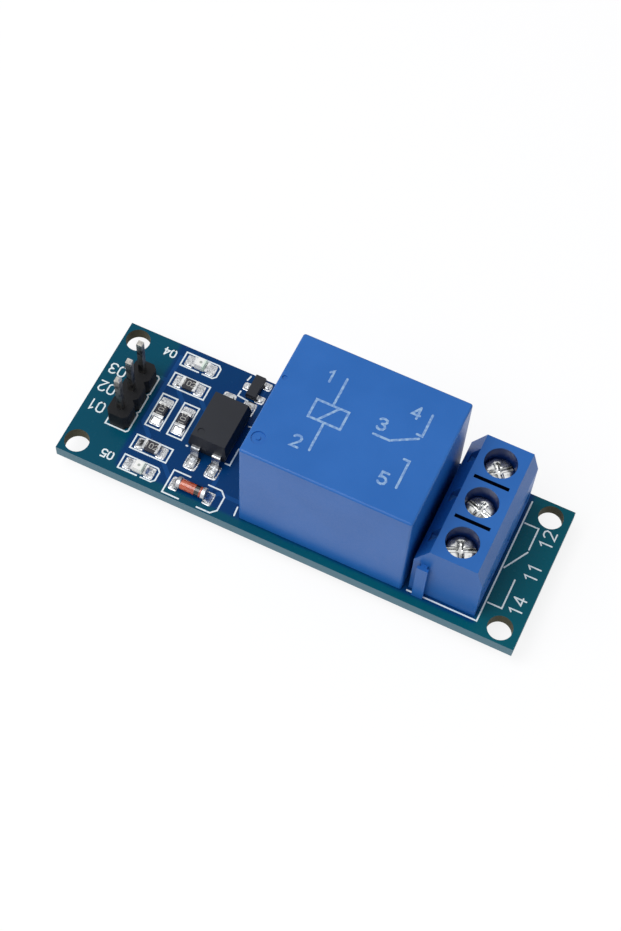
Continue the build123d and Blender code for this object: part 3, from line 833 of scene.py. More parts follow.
@dataclass(frozen=True)
class Extent:
    """The box round some CAD nodes at rest, in millimetres."""

    low: np.ndarray
    high: np.ndarray

    @classmethod
    def of(cls, *nodes: str) -> "Extent":
        """The box round the named nodes."""
        corners = np.array([[tuple(corner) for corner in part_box(node)] for node in nodes]) / MM
        return cls(corners[:, 0].min(axis=0), corners[:, 1].max(axis=0))

    @property
    def middle(self) -> np.ndarray:
        """The centre of the box."""
        return (self.low + self.high) / 2

    @property
    def size(self) -> np.ndarray:
        """The box's length along each axis."""
        return self.high - self.low

    def corner(self, which: Corner) -> np.ndarray:
        """The place of one of its corners, seen from above."""
        return self.low[:2] + self.size[:2] * which.value


@dataclass
class Surface:
    """Points in millimetres and the faces between them."""

    points: np.ndarray
    faces: list[list[int]]

    @classmethod
    def join(cls, surfaces: Iterable["Surface"]) -> "Surface":
        """Several surfaces as one, each point index moved past the points before it.

        Args:
            surfaces: the surfaces in order.

        Returns:
            The one surface.
        """
        surfaces = list(surfaces)
        starts = np.cumsum([0] + [len(surface.points) for surface in surfaces[:-1]])
        faces = [
            [corner + int(start) for corner in face]
            for start, surface in zip(starts, surfaces)
            for face in surface.faces
        ]
        return cls(np.concatenate([surface.points for surface in surfaces]), faces)

    @classmethod
    def stack(cls, surfaces: Iterable["Surface"], step: float = 0.0009, levels: int = 7) -> "Surface":
        """Joins strokes on a few levels a hair apart, so that the tops of crossing strokes differ."""
        return cls.join(surface.moved(z=step * (place % levels)) for place, surface in enumerate(surfaces))

    def moved(self, x: float = 0.0, y: float = 0.0, z: float = 0.0) -> "Surface":
        """The same surface, shifted."""
        return Surface(self.points + np.array([x, y, z]), self.faces)

    def turned(self, degrees: float) -> "Surface":
        """The same surface, turned about the Z axis.

        Args:
            degrees: how far it turns to the left, seen from above.

        Returns:
            The turned surface.
        """
        angle = math.radians(degrees)
        turn = np.array([
            [math.cos(angle), math.sin(angle), 0],
            [-math.sin(angle), math.cos(angle), 0],
            [0, 0, 1],
        ])
        return Surface(self.points @ turn, self.faces)

    def build(
        self,
        name: str,
        finish: Finish,
        body: str,
        slot: Slot | None = None,
        stands_for: Sequence[str] = (),
        sharp: float = 40.0,
    ) -> bpy.types.Object:
        """Makes the piece, closes its seams, turns its faces outward and attaches it.

        Args:
            name: the piece's name.
            finish: the look it wears.
            body: the CAD body it moves with.
            slot: not used.
            stands_for: the CAD nodes it replaces.
            sharp: the angle in degrees past which an edge stays sharp.

        Returns:
            The new object.
        """
        mesh = bpy.data.meshes.new(name)
        mesh.from_pydata((self.points * MM).tolist(), [], self.faces)
        shell = bmesh.new()
        shell.from_mesh(mesh)
        bmesh.ops.remove_doubles(shell, verts=shell.verts, dist=MM * MERGE)
        bmesh.ops.recalc_face_normals(shell, faces=shell.faces)
        shell.to_mesh(mesh)
        shell.free()
        mesh.polygons.foreach_set("use_smooth", np.ones(len(mesh.polygons), bool))
        mesh.set_sharp_from_angle(angle=math.radians(sharp))
        mesh.materials.append(finish.material())
        piece = bpy.data.objects.new(name, mesh)
        bpy.context.scene.collection.objects.link(piece)
        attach(piece, body)
        if stands_for:
            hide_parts(*stands_for)
        LOG.info("made %s: %d faces on %s", name, len(mesh.polygons), body)
        return piece


def dress(finish: Finish, *nodes: str) -> None:
    """Gives CAD nodes a finish on their own material slots.

    Args:
        finish: the look that they wear.
        nodes: the nodes' names.
    """
    for name in nodes:
        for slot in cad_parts[name].material_slots:
            slot.link = "OBJECT"
            slot.material = finish.material()
    LOG.info("dressed %s as %s", ", ".join(nodes), finish.name)


def points_of(node: str) -> np.ndarray:
    """The points of a CAD node in millimetres.

    Args:
        node: the node's name.

    Returns:
        An array of points by 3.
    """
    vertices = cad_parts[node].data.vertices
    points = np.empty(len(vertices) * 3)
    vertices.foreach_get("co", points)
    return points.reshape(-1, 3) / MM


def solids_of(node: str) -> list[np.ndarray]:
    """The points of each separate solid in a CAD node, in millimetres.

    Points at one place share a number. Each takes the lowest number in the triangles that it
    belongs to, again and again until nothing changes, and each solid then has one number.

    Args:
        node: the node's name.

    Returns:
        One array of points for each solid.
    """
    points = points_of(node)
    places = np.unique(points.round(4), axis=0, return_inverse=True)[1].ravel()
    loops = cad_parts[node].data.loops
    corners = np.empty(len(loops), int)
    loops.foreach_get("vertex_index", corners)
    triangles = places[corners].reshape(-1, 3)
    numbers = np.arange(places.max() + 1)
    settled = False
    while not settled:
        lower = numbers.copy()
        np.minimum.at(lower, triangles, numbers[triangles].min(axis=1, keepdims=True))
        settled = bool((lower == numbers).all())
        numbers = lower
    owner = numbers[places]
    return [points[owner == number] for number in np.unique(owner)]


def net(points: np.ndarray, wrap: bool = False) -> Surface:
    """Four-sided faces over a grid of points.

    Args:
        points: an array of rows by columns by 3.
        wrap: whether the last column joins the first.

    Returns:
        The surface, one face between each four neighbours.
    """
    rows, columns = points.shape[:2]
    index = np.arange(rows * columns).reshape(rows, columns)
    if wrap:
        index = np.hstack([index, index[:, :1]])
    quads = np.stack([index[:-1, :-1], index[1:, :-1], index[1:, 1:], index[:-1, 1:]], axis=-1)
    return Surface(points.reshape(-1, 3), quads.reshape(-1, 4).tolist())


def tube(sections: np.ndarray) -> Surface:
    """Closed rings of points joined in order, with a flat cap on the first and the last.

    Args:
        sections: an array of rings by points by 3.

    Returns:
        The closed surface.
    """
    shell = net(sections, wrap=True)
    count = sections.shape[1]
    last = len(shell.points) - count
    caps = [list(range(count)), list(range(last, last + count))]
    return Surface(shell.points, shell.faces + caps)


def lathe(profile: Path, x: float, y: float, sides: int = 40) -> Surface:
    """A profile of radius and height carried round an upright axis.

    Each ring is (x + r cos a, y + r sin a, z) for a from 0 to a full turn. The profile starts and
    ends on the axis, where its ring closes to one point.

    Args:
        profile: pairs of radius and height.
        x: the axis's place along the board.
        y: its place across the board.
        sides: how many points a ring has.

    Returns:
        The closed surface.
    """
    radius, height = np.array(profile, float).T
    angle = np.linspace(0, FULL_TURN, sides, endpoint=False)
    ring = np.stack([np.cos(angle), np.sin(angle)], axis=-1)
    points = np.empty((len(radius), sides, 3))
    points[..., :2] = np.array([x, y]) + radius[:, None, None] * ring
    points[..., 2] = height[:, None]
    return net(points, wrap=True)


# The angles at which a round end has points, where 90 would be its tip and 0 its side
END_ANGLES = np.radians([80, 60, 40, 20])


def ribbon(path: Path, width: float, base: float, rise: float, closed: bool = False) -> Surface:
    """A flat raised line with round ends and mitred corners.

    At each point of the path the section is a box set across the mean of the two directions that
    meet there, wider by 1 over the cosine of half the turn, and at most twice as wide. At an open
    end the half width follows the square root of r squared minus the squared distance past the
    last point.

    Args:
        path: the corners of the line's middle.
        width: the line's width.
        base: the height of the line's underside.
        rise: the line's thickness.
        closed: whether the last point joins the first.

    Returns:
        The closed strip.
    """
    points = np.array(path, float)
    ends = np.roll(points, -1, axis=0) if closed else points[1:]
    steps = ends - points[: len(ends)]
    ways = steps / np.linalg.norm(steps, axis=1, keepdims=True)
    before = np.roll(ways, 1, axis=0) if closed else np.vstack([ways[:1], ways])
    after = ways if closed else np.vstack([ways, ways[-1:]])
    mean = before + after
    mean /= np.linalg.norm(mean, axis=1, keepdims=True)
    half = width / 2 / np.clip((mean * after).sum(axis=1), 0.5, 1)
    if not closed:
        reach = width / 2 * np.sin(END_ANGLES)
        thin = width / 2 * np.cos(END_ANGLES)
        head = points[0] - ways[0] * reach[:, None]
        tail = points[-1] + ways[-1] * reach[::-1, None]
        points = np.vstack([head, points, tail])
        count = len(END_ANGLES)
        mean = np.vstack([np.repeat(ways[:1], count, axis=0), mean, np.repeat(ways[-1:], count, axis=0)])
        half = np.concatenate([thin, half, thin[::-1]])
    side = np.stack([-mean[:, 1], mean[:, 0]], axis=-1) * half[:, None]
    sections = np.empty((len(points), 4, 3))
    sections[:, :2, :2] = (points + side)[:, None]
    sections[:, 2:, :2] = (points - side)[:, None]
    sections[:, :, 2] = base + rise * np.array([0, 1, 1, 0])
    if closed:
        sections = np.concatenate([sections, sections[:1]])
        return net(sections, wrap=True)
    return tube(sections)


def cushion(
    x: float, y: float, length: float, width: float, base: float, rise: float,
    squareness: float, flatness: float, sides: int = 40, rings: int = 12,
) -> Surface:
    """A closed pad with a rounded outline and a crowned top.

    Its outline is the curve |x / a| + |y / b| = 1 with both terms to the power of the squareness.
    At a share s of the way out, its height is the rise times the square root of one minus s to the
    power of the flatness: 2 gives a drop, a high power a flat plate with a soft rim.

    Args:
        x: the middle of the pad.
        y: the middle of the pad.
        length: its length along X.
        width: its width along Y.
        base: the height of its underside.
        rise: its thickness in the middle.
        squareness: the power of its outline.
        flatness: the power of its crown.
        sides: how many points its outline has.
        rings: how many rings its top has.

    Returns:
        The closed pad.
    """
    angle = np.linspace(0, FULL_TURN, sides, endpoint=False)
    across, along = np.cos(angle), np.sin(angle)
    reach = (np.abs(across) ** squareness + np.abs(along) ** squareness) ** (-1 / squareness)
    outline = np.stack([across * reach * length / 2, along * reach * width / 2], axis=-1)
    share = np.sin(np.linspace(0, math.pi / 2, rings)) ** (2 / flatness)
    height = np.append(base + rise * np.sqrt(1 - share**flatness), base)
    share = np.append(share, 0)
    points = np.empty((len(share), len(angle), 3))
    points[..., :2] = np.array([x, y]) + share[:, None, None] * outline
    points[..., 2] = height[:, None]
    return net(points, wrap=True)


# Digits one unit tall, as strokes
DIGIT_WIDTH = 0.6
DIGIT_ADVANCE = 0.86
DIGIT_STROKES: dict[str, list[list[tuple[float, float]]]] = {
    "0": [[(0.3, 0), (0.48, 0.04), (0.6, 0.2), (0.6, 0.8), (0.48, 0.96), (0.3, 1), (0.12, 0.96),
           (0, 0.8), (0, 0.2), (0.12, 0.04), (0.3, 0)]],
    "1": [[(0.08, 0.8), (0.32, 1), (0.32, 0)]],
    "2": [[(0, 0.82), (0.12, 0.96), (0.3, 1), (0.48, 0.96), (0.6, 0.8), (0.56, 0.58), (0, 0), (0.6, 0)]],
    "3": [[(0, 0.85), (0.14, 0.97), (0.34, 1), (0.53, 0.93), (0.58, 0.75), (0.48, 0.58), (0.26, 0.53)],
          [(0.26, 0.53), (0.5, 0.47), (0.6, 0.26), (0.5, 0.06), (0.3, 0), (0.1, 0.03), (0, 0.15)]],
    "4": [[(0.46, 0), (0.46, 1)], [(0.44, 0.96), (0, 0.3), (0.62, 0.3)]],
    "5": [[(0.56, 1), (0.06, 1), (0.02, 0.56), (0.28, 0.62), (0.5, 0.54), (0.6, 0.34), (0.54, 0.1),
           (0.32, 0), (0.1, 0.03), (0, 0.14)]],
}


def numerals(
    text: str, x: float, y: float, height: float, line: float, base: float, rise: float, turn: float = 0
) -> Surface:
    """Stroked numbers centred on a point and turned about it.

    A digit's strokes are corners in a box as tall as 1 and as wide as DIGIT_WIDTH, and the next
    digit starts DIGIT_ADVANCE further on.

    Args:
        text: the digits.
        x: the middle of the text.
        y: the middle of the text.
        height: the height of a digit.
        line: the width of a stroke.
        base: the height of the strokes' underside.
        rise: the strokes' thickness.
        turn: degrees by which the text is turned to the left.

    Returns:
        The digits' strokes as one surface.
    """
    advance = DIGIT_ADVANCE * height
    start = -(advance * (len(text) - 1) + DIGIT_WIDTH * height) / 2
    strokes = [
        ribbon(
            [(start + advance * place + u * height, (v - 0.5) * height) for u, v in stroke],
            line, base, rise,
        )
        for place, digit in enumerate(text)
        for stroke in DIGIT_STROKES[digit]
    ]
    return Surface.stack(strokes).turned(turn).moved(x, y)


# Routes over the board


def elbow(start: Place, end: Place) -> list[np.ndarray]:
    """The corners of a track from one place to another.

    It runs at 45 degrees until it is level with its end, and then straight along one axis.

    Args:
        start: where the track starts.
        end: where it ends.

    Returns:
        The corners, without the bend where one straight run is enough.
    """
    first, last = np.array(start, float), np.array(end, float)
    distance = last - first
    bend = first + np.sign(distance) * np.abs(distance).min()
    straight = np.allclose(bend, first, atol=SNAP) or np.allclose(bend, last, atol=SNAP)
    return [first, last] if straight else [first, bend, last]


def route(*places: Place) -> list[np.ndarray]:
    """The corners of a track that passes several places.

    Args:
        places: the places in order.

    Returns:
        All corners, each place once.
    """
    legs = [elbow(start, end) for start, end in zip(places, places[1:])]
    return [legs[0][0], *(corner for leg in legs for corner in leg[1:])]


def ends_of(node: str) -> tuple[np.ndarray, np.ndarray]:
    """The middles of the two end faces of a node that lies along X or Y.

    Args:
        node: the node's name.

    Returns:
        The end with the lower coordinate, then the other.
    """
    box = Extent.of(node)
    reach = np.where(box.size[:2] == box.size[:2].max(), box.size[:2] / 2, 0)
    return box.middle[:2] - reach, box.middle[:2] + reach


def pads_of(node: str) -> list[np.ndarray]:
    """The middles of a node's solids on the board, from left to right and then from near to far.

    Args:
        node: the node that holds the solids.

    Returns:
        One place for each solid.
    """
    places = [(solid.min(axis=0) + solid.max(axis=0))[:2] / 2 for solid in solids_of(node)]
    return sorted(places, key=lambda place: tuple(place.round(1)))


# Sub-assemblies


@dataclass
class CircuitBoard:
    """The lacquered board, its tracks and its print."""

    # The printed lines
    line: float = 0.17
    rise: float = 0.03

    # Frames round the chips, the lamps and the header
    chip_reach: float = 1.2
    chip_side: float = 0.28
    bracket_gap: float = 0.5
    bracket_shift: float = 0.1
    lamp_cut: float = 0.35
    header_gap: float = 0.12
    header_notch: float = 0.22

    # Marks, each from the corner of the part that it stands beside
    opto_corner: Path = ((0.3, 2.6), (0.3, 0.35), (-0.25, 0.35))
    opto_tick: Path = ((0.0, -0.85), (0.3, -0.85))
    opto_dot: Path = ((-0.5, 0.45), (-0.36, 0.45))
    transistor_tick: Path = ((-0.6, -0.1), (-0.75, -0.7))
    transistor_corner: Path = ((-0.8, 0.6), (-0.85, -0.05), (0.45, -0.2))
    relay_tick: Path = ((-0.65, 1.15), (-0.55, 0.1))

    # The brackets round the diode, from its middle
    diode_side: float = 1.48
    diode_reach: float = 2.9
    diode_cut: float = 0.6
    diode_open_left: float = 0.9
    diode_open_right: float = 1.3

    # The terminal's outline, and the contact past its face, from its poles
    terminal_gap: float = 0.45
    terminal_lead: float = 0.4
    diagram_gap: float = 0.7
    diagram_reach: float = 1.6
    closed_start: float = -0.2
    closed_end: float = 2.1
    arm_start: float = -1.0
    arm_end: float = 1.75
    open_start: float = -0.45
    open_end: float = 3.2

    # Numbers, with the lamps' two from a lamp and from the board's long edges
    label_height: float = 1.15
    label_inset: float = 1.5
    pin_label_share: float = 1.1
    pin_label_shift: float = 0.1
    pole_label_share: float = 1.2
    pole_label_shifts: tuple[float, float, float] = (0.55, -0.25, -1.0)
    lamp_label_share: float = 0.8
    far_label: tuple[float, float] = (3.3, 1.6)
    near_label: tuple[float, float] = (3.5, 1.7)

    # Tracks, and how far from a pad or a part each of them bends
    track_width: float = 0.5
    power_width: float = 2.5
    track_rise: float = 0.012
    track_lift: float = 15.0
    bus_gap: float = 1.05
    bus_end: float = 2.0
    lane_gap: float = 0.5
    lane_start: float = 2.0
    lane_end: float = 3.0
    pin_run: float = 1.4
    pin_drop: float = 2.0
    coil_drop: float = 1.0

    # The copper area, from the board's near edge and past the terminal
    copper_margin: float = 0.95
    copper_overhang: float = 0.3

    def __post_init__(self) -> None:
        """Reads the board's box, and the terminal's poles from near to far."""
        self.box = Extent.of("circuit_board")
        self.print_base = float(self.box.high[2]) - BURIED
        self.poles = [Extent.of(f"terminal_screw_{number}").middle[1] for number in POLES]

    def mask(self, name: str, lift: float) -> SolderMask:
        """The board's lacquer.

        Args:
            name: the finish's name.
            lift: how much brighter the colours are, as on a raised track.

        Returns:
            The finish.
        """
        near_left = self.box.low + RIM_DEPTH
        far_right = self.box.high - RIM_DEPTH
        return SolderMask(
            name,
            over_copper=Colour(lift, 56 + lift, 110 + lift * 1.4),
            over_laminate=Colour(lift, 76 + lift, 99 + lift),
            far_end=Colour(lift, 88 + lift, 104 + lift),
            cut_edge=Colour(106, 138, 152),
            hole_wall=Colour(88, 86, 68),
            copper_left=Extent.of("header_body").high[0] + self.bus_gap / 2,
            copper_right=Extent.of("terminal_housing").high[0] + self.copper_overhang,
            copper_near=self.box.low[1] + self.copper_margin,
            rim=(near_left[0], far_right[0], near_left[1], far_right[1]),
        )

    def stroke(self, *path: Place, closed: bool = False) -> Surface:
        """One printed line on the board's top."""
        return ribbon(path, self.line, self.print_base, self.rise, closed)

    def label(self, text: str, x: float, y: float, share: float, turn: float) -> Surface:
        """Printed numbers on the board's top, a share of the usual height tall."""
        height = self.label_height * share
        return numerals(text, x, y, height, self.line, self.print_base, self.rise, turn)

    def frame_box(self, *nodes: str) -> tuple[float, float, float, float]:
        """Where the printed frame of a chip runs.

        Args:
            nodes: the nodes that make up the chip.

        Returns:
            Its left, near, right and far lines.
        """
        box = Extent.of(*nodes)
        lying = box.size[0] > box.size[1]
        reach = (self.chip_reach, self.chip_side) if lying else (self.chip_side, self.chip_reach)
        return (*(box.low[:2] - reach), *(box.high[:2] + reach))

    def resistor_frames(self) -> list[Surface]:
        """A closed frame round each resistor.

        Returns:
            Four strokes.
        """
        frames = []
        for number in RESISTORS:
            left, near, right, far = self.frame_box(f"resistor_{number}_body", f"resistor_{number}_ends")
            frames.append(self.stroke((left, near), (right, near), (right, far), (left, far), closed=True))
        return frames

    def lamp_frames(self) -> list[Surface]:
        """Two brackets round each lamp, the right one with cut corners.

        Returns:
            Four strokes.
        """
        strokes = []
        for lamp in Lamp:
            left, near, right, far = self.frame_box(lamp.part("base"), lamp.part("ends"))
            gap = (left + right) / 2 + self.bracket_shift
            next_gap = gap + self.bracket_gap
            cut_x = right - self.lamp_cut
            low_cut, high_cut = near + self.lamp_cut, far - self.lamp_cut
            strokes += [
                self.stroke((gap, near), (left, near), (left, far), (cut_x, far), (right, high_cut)),
                self.stroke((right, high_cut), (right, low_cut), (cut_x, near), (next_gap, near)),
            ]
        return strokes

    def header_frame(self) -> Surface:
        """The frame round the header, with a notch at each of its seams.

        Returns:
            One closed stroke.
        """
        header = Extent.of("header_body")
        near, *seams, far = np.linspace(header.low[1], header.high[1], len(PINS) + 1)
        near, far = near - self.header_gap, far + self.header_gap
        left, right = header.low[0] - self.header_gap, header.high[0] + self.header_gap
        notch = self.header_notch
        path = [(left, far), (left, near), (right - notch, near), (right, near + notch)]
        for seam in seams:
            path += [(right, seam - notch), (right - notch, seam), (right, seam + notch)]
        return self.stroke(*path, (right, far - notch), (right - notch, far), closed=True)

    def mark(self, node: str, corner: Corner, path: Path) -> Surface:
        """A printed mark whose path is given from one corner of a part."""
        return self.stroke(*(Extent.of(node).corner(corner) + path))

    def package_marks(self) -> list[Surface]:
        """The corners, ticks and dot printed beside the optocoupler, the transistor and the relay.

        Returns:
            Six short strokes.
        """
        return [
            self.mark("optocoupler_body", Corner.NEAR_RIGHT, self.opto_corner),
            self.mark("optocoupler_body", Corner.FAR_RIGHT, self.opto_tick),
            self.mark("optocoupler_body", Corner.NEAR_LEFT, self.opto_dot),
            self.mark("transistor_body", Corner.FAR_LEFT, self.transistor_tick),
            self.mark("transistor_body", Corner.NEAR_LEFT, self.transistor_corner),
            self.mark("relay_cover", Corner.NEAR_LEFT, self.relay_tick),
        ]

    def diode_frames(self) -> list[Surface]:
        """The bracket and the arrow-shaped bracket round the diode.

        Returns:
            Two strokes.
        """
        x, y = Extent.of("diode_caps").middle[:2]
        near, far = y - self.diode_side, y + self.diode_side
        left, right = x - self.diode_reach, x + self.diode_reach
        tip, cut = right + self.diode_cut, self.diode_cut
        left_end, right_end = x - self.diode_open_left, x + self.diode_open_right
        arrow = [(right, far), (tip, far - cut), (tip, near + cut), (right, near)]
        return [
            self.stroke((left_end, far), (left, far), (left, near), (left_end, near)),
            self.stroke((right_end, far), *arrow, (right_end, near)),
        ]

    def terminal_marks(self) -> list[Surface]:
        """The terminal's outline and, at its wire side, the change-over contact.

        Returns:
            Four strokes.
        """
        terminal = Extent.of("terminal_housing")
        near_pole, middle_pole, far_pole = self.poles
        start = near_pole - (middle_pole - near_pole) / 2 - self.terminal_lead
        front = terminal.high[0] + self.terminal_gap
        inner = terminal.high[0] + self.diagram_gap
        outer = inner + self.diagram_reach
        closed, opened = far_pole + self.closed_start, near_pole + self.open_start
        return [
            self.stroke((terminal.low[0], start), (front, start), (front, terminal.high[1])),
            self.stroke((inner, closed), (outer, closed), (outer, middle_pole + self.closed_end)),
            self.stroke((inner, middle_pole + self.arm_start), (outer, middle_pole + self.arm_end)),
            self.stroke((inner, opened), (outer, opened), (outer, near_pole + self.open_end)),
        ]

    def numbers(self) -> list[Surface]:
        """Plain numbers beside the header's pins, the terminal's poles and the lamps.

        Returns:
            Eight labels.
        """
        (left, near), (right, far) = self.box.low[:2], self.box.high[:2]
        pins = [Extent.of(f"header_pin_{number}").middle[1] for number in PINS]
        lamp = Extent.of(Lamp.POWER.part("base")).low[0]
        beside_pins = [
            self.label(text, left + self.label_inset, pin + self.pin_label_shift, self.pin_label_share, 180)
            for text, pin in zip(("01", "02", "03"), pins)
        ]
        beside_poles = [
            self.label(text, right - self.label_inset, pole + shift, self.pole_label_share, 90)
            for text, pole, shift in zip(("14", "11", "12"), self.poles, self.pole_label_shifts)
        ]
        by_far_edge = (lamp - self.far_label[0], far - self.far_label[1])
        by_near_edge = (lamp - self.near_label[0], near + self.near_label[1])
        return [
            *beside_pins,
            *beside_poles,
            self.label("04", *by_far_edge, self.lamp_label_share, 180),
            self.label("05", *by_near_edge, self.lamp_label_share, 180),
        ]

    def upper_tracks(self) -> list[list[np.ndarray]]:
        """The routes on the board's top, between the pads of the small parts.

        Returns:
            The corners of each track.
        """
        bus = Extent.of("header_body").high[0] + self.bus_gap
        lane = Extent.of("optocoupler_body").low[0] - self.lane_gap
        far_pin = pads_of("header_solder")[-1]
        lamp, _ = ends_of(Lamp.POWER.part("ends"))
        chips = [ends_of(f"resistor_{number}_ends") for number in RESISTORS]
        anode, cathode = ends_of("diode_caps")
        near_left, far_left, near_right, far_right = pads_of("optocoupler_leads")
        collector = pads_of("transistor_leads")[-1]
        coil = pads_of("relay_solder")[1]
        lane_end = near_left[1] + self.lane_end
        return [
            route(far_pin, (bus, far_pin[1] + self.pin_run)),
            route(lamp, (bus, lamp[1]), (bus, near_left[1] + self.bus_end), chips[3][0]),
            route(chips[0][1], (lane, far_left[1] - self.lane_start), (lane, lane_end), near_left),
            route(chips[2][1], chips[0][0]),
            route(chips[3][1], anode),
            route(near_right, cathode),
            route(far_right, collector),
            route(cathode, coil),
        ]

    def lower_tracks(self) -> list[list[np.ndarray]]:
        """The routes on the board's underside, between the header and the relay's coil.

        Returns:
            The corners of each track.
        """
        near_pin, middle_pin, _ = pads_of("header_solder")
        _, near_coil, far_coil, _, _ = pads_of("relay_solder")
        opto = Extent.of("optocoupler_body").middle[0]
        return [
            route(middle_pin, (opto, far_coil[1]), far_coil),
            route(near_pin, (opto, near_pin[1] - self.pin_drop)),
            route(near_coil, (opto, near_coil[1] - self.coil_drop)),
        ]

    def power_tracks(self) -> list[list[np.ndarray]]:
        """The wide routes under the board, from the relay's contacts to the terminal."""
        common, _, _, opened, closed = pads_of("relay_solder")
        return [route(*pair) for pair in zip((opened, common, closed), pads_of("terminal_solder"))]

    def tracks(self) -> Surface:
        """All the lacquered copper tracks, on both faces of the board.

        Returns:
            The tracks as one surface.
        """
        under = float(self.box.low[2]) + BURIED - self.track_rise
        groups = (
            (self.upper_tracks(), self.track_width, self.print_base),
            (self.lower_tracks(), self.track_width, under),
            (self.power_tracks(), self.power_width, under),
        )
        return Surface.stack(
            ribbon(path, width, base, self.track_rise) for paths, width, base in groups for path in paths
        )

    def build(self) -> None:
        """Dresses the board and lays its tracks and print."""
        dress(self.mask("mask_over_board", 0), "circuit_board")
        lacquer = self.mask("mask_over_tracks", self.track_lift)
        self.tracks().build("board_tracks", lacquer, BOARD, Slot.SOLDER_MASK)
        print_lines = [
            *self.resistor_frames(), *self.lamp_frames(), self.header_frame(), *self.package_marks(),
            *self.diode_frames(), *self.terminal_marks(), *self.numbers(),
        ]
        ink = PrintedInk("board_print_ink", Colour(240, 249, 252), Colour(196, 220, 232), 0.66)
        Surface.stack(print_lines).build("board_print", ink, BOARD)


@dataclass
class Relay:
    """The sealed relay: its case, the print on it and the mechanism inside."""

    # The printed lines and digits
    line: float = 0.26
    rise: float = 0.02
    digit: float = 1.35

    # The symbol, from its own middle, and how far that lies from the case's
    symbol_shift: float = 1.2
    coil_x: float = -4.4
    coil_half: float = 1.8
    coil_side: float = 1.1
    slash: float = 0.8
    pin_reach: float = 4.6
    contact_x: float = 5.2
    contact_hook: float = 0.6
    closed_y: float = 1.9
    open_y: float = -1.3
    arm: Path = ((0.6, 0.0), (2.4, 0.0), (5.0, 1.5))

    # The pin numbers
    number_reach: float = 4.2
    number_gap: float = 1.6
    arm_number: tuple[float, float] = (1.0, 1.4)

    def dress_case(self) -> None:
        """The blue case and the base under it."""
        case = MouldedPlastic(
            "relay_case_plastic", Colour(26, 99, 180), Colour(35, 105, 187), 0.36, shine=0.38
        )
        base = MouldedPlastic("relay_base_plastic", Colour(28, 68, 140), Colour(34, 76, 150), 0.5)
        dress(case, "relay_cover")
        dress(base, "relay_base")

    def dress_mechanism(self) -> None:
        """Steel, copper, bronze and silver for what works inside."""
        steel = BareMetal("relay_magnet_steel", Colour(176, 178, 182), Colour(140, 138, 136), 0.34)
        tin = BareMetal("relay_tinned_pins", Colour(206, 208, 208), Colour(170, 172, 172), 0.25)
        bronze = BareMetal("relay_spring_bronze", Colour(204, 150, 98), Colour(168, 112, 72), 0.26)
        silver = BareMetal("relay_contact_silver", Colour(226, 224, 218), Colour(188, 182, 172), 0.2)
        nylon = MouldedPlastic("relay_bobbin_plastic", Colour(222, 220, 210), Colour(208, 204, 190), 0.45)
        # The wire's second, darker colour is painted shade in the grooves between turns
        wire = Winding("relay_coil_wire", Colour(196, 104, 60), Colour(98, 42, 22))
        dress(steel, "relay_yoke", "relay_core", "relay_armature")
        dress(tin, "relay_coil_pins", "relay_closed_blade", "relay_open_blade", "relay_common_blade")
        dress(bronze, "relay_contact_spring")
        dress(silver, "relay_moving_contact", "relay_closed_contact", "relay_open_contact")
        dress(nylon, "relay_bobbin")
        dress(wire, "relay_winding")

    def symbol_paths(self) -> list[Path]:
        """The open strokes of the symbol, from its own middle.

        Returns:
            The slash and the two pins of the coil, the arm, and the two fixed contacts.
        """
        coil, side, pin = self.coil_x, self.coil_side, self.pin_reach
        fixed, hook = self.contact_x, self.contact_x - self.contact_hook
        return [
            [(coil - self.slash, -side), (coil + self.slash, side)],
            [(coil, side), (coil, pin)],
            [(coil, -side), (coil, -pin)],
            self.arm,
            [(fixed, pin), (fixed, self.closed_y), (hook, self.closed_y)],
            [(fixed, -pin), (fixed, self.open_y), (hook, self.open_y)],
        ]

    def symbol(self) -> Surface:
        """A plain coil and change-over contact with pin numbers, printed on the case's top.

        Returns:
            The symbol as one surface.
        """
        case = Extent.of("relay_cover")
        middle = case.middle[:2] + (self.symbol_shift, 0)
        base = float(case.high[2]) - BURIED
        left, right = self.coil_x - self.coil_half, self.coil_x + self.coil_half
        side, reach = self.coil_side, self.number_reach
        coil = [(left, -side), (right, -side), (right, side), (left, side)]
        strokes = [ribbon(middle + coil, self.line, base, self.rise, closed=True)]
        strokes += [ribbon(middle + path, self.line, base, self.rise) for path in self.symbol_paths()]
        by_coil, by_contact = self.coil_x - self.number_gap, self.contact_x - self.number_gap
        places = {
            "1": (by_coil, reach), "2": (by_coil, -reach), "3": self.arm_number,
            "4": (by_contact, reach), "5": (by_contact, -reach),
        }
        strokes += [
            numerals(text, *(middle + place), self.digit, self.line, base, self.rise)
            for text, place in places.items()
        ]
        return Surface.stack(strokes)

    def build(self) -> None:
        """Dresses every part of the relay and prints its top."""
        self.dress_case()
        self.dress_mechanism()
        ink = PrintedInk("relay_print_ink", Colour(150, 184, 222), Colour(112, 152, 208), 0.5)
        self.symbol().build("relay_print", ink, BOARD)


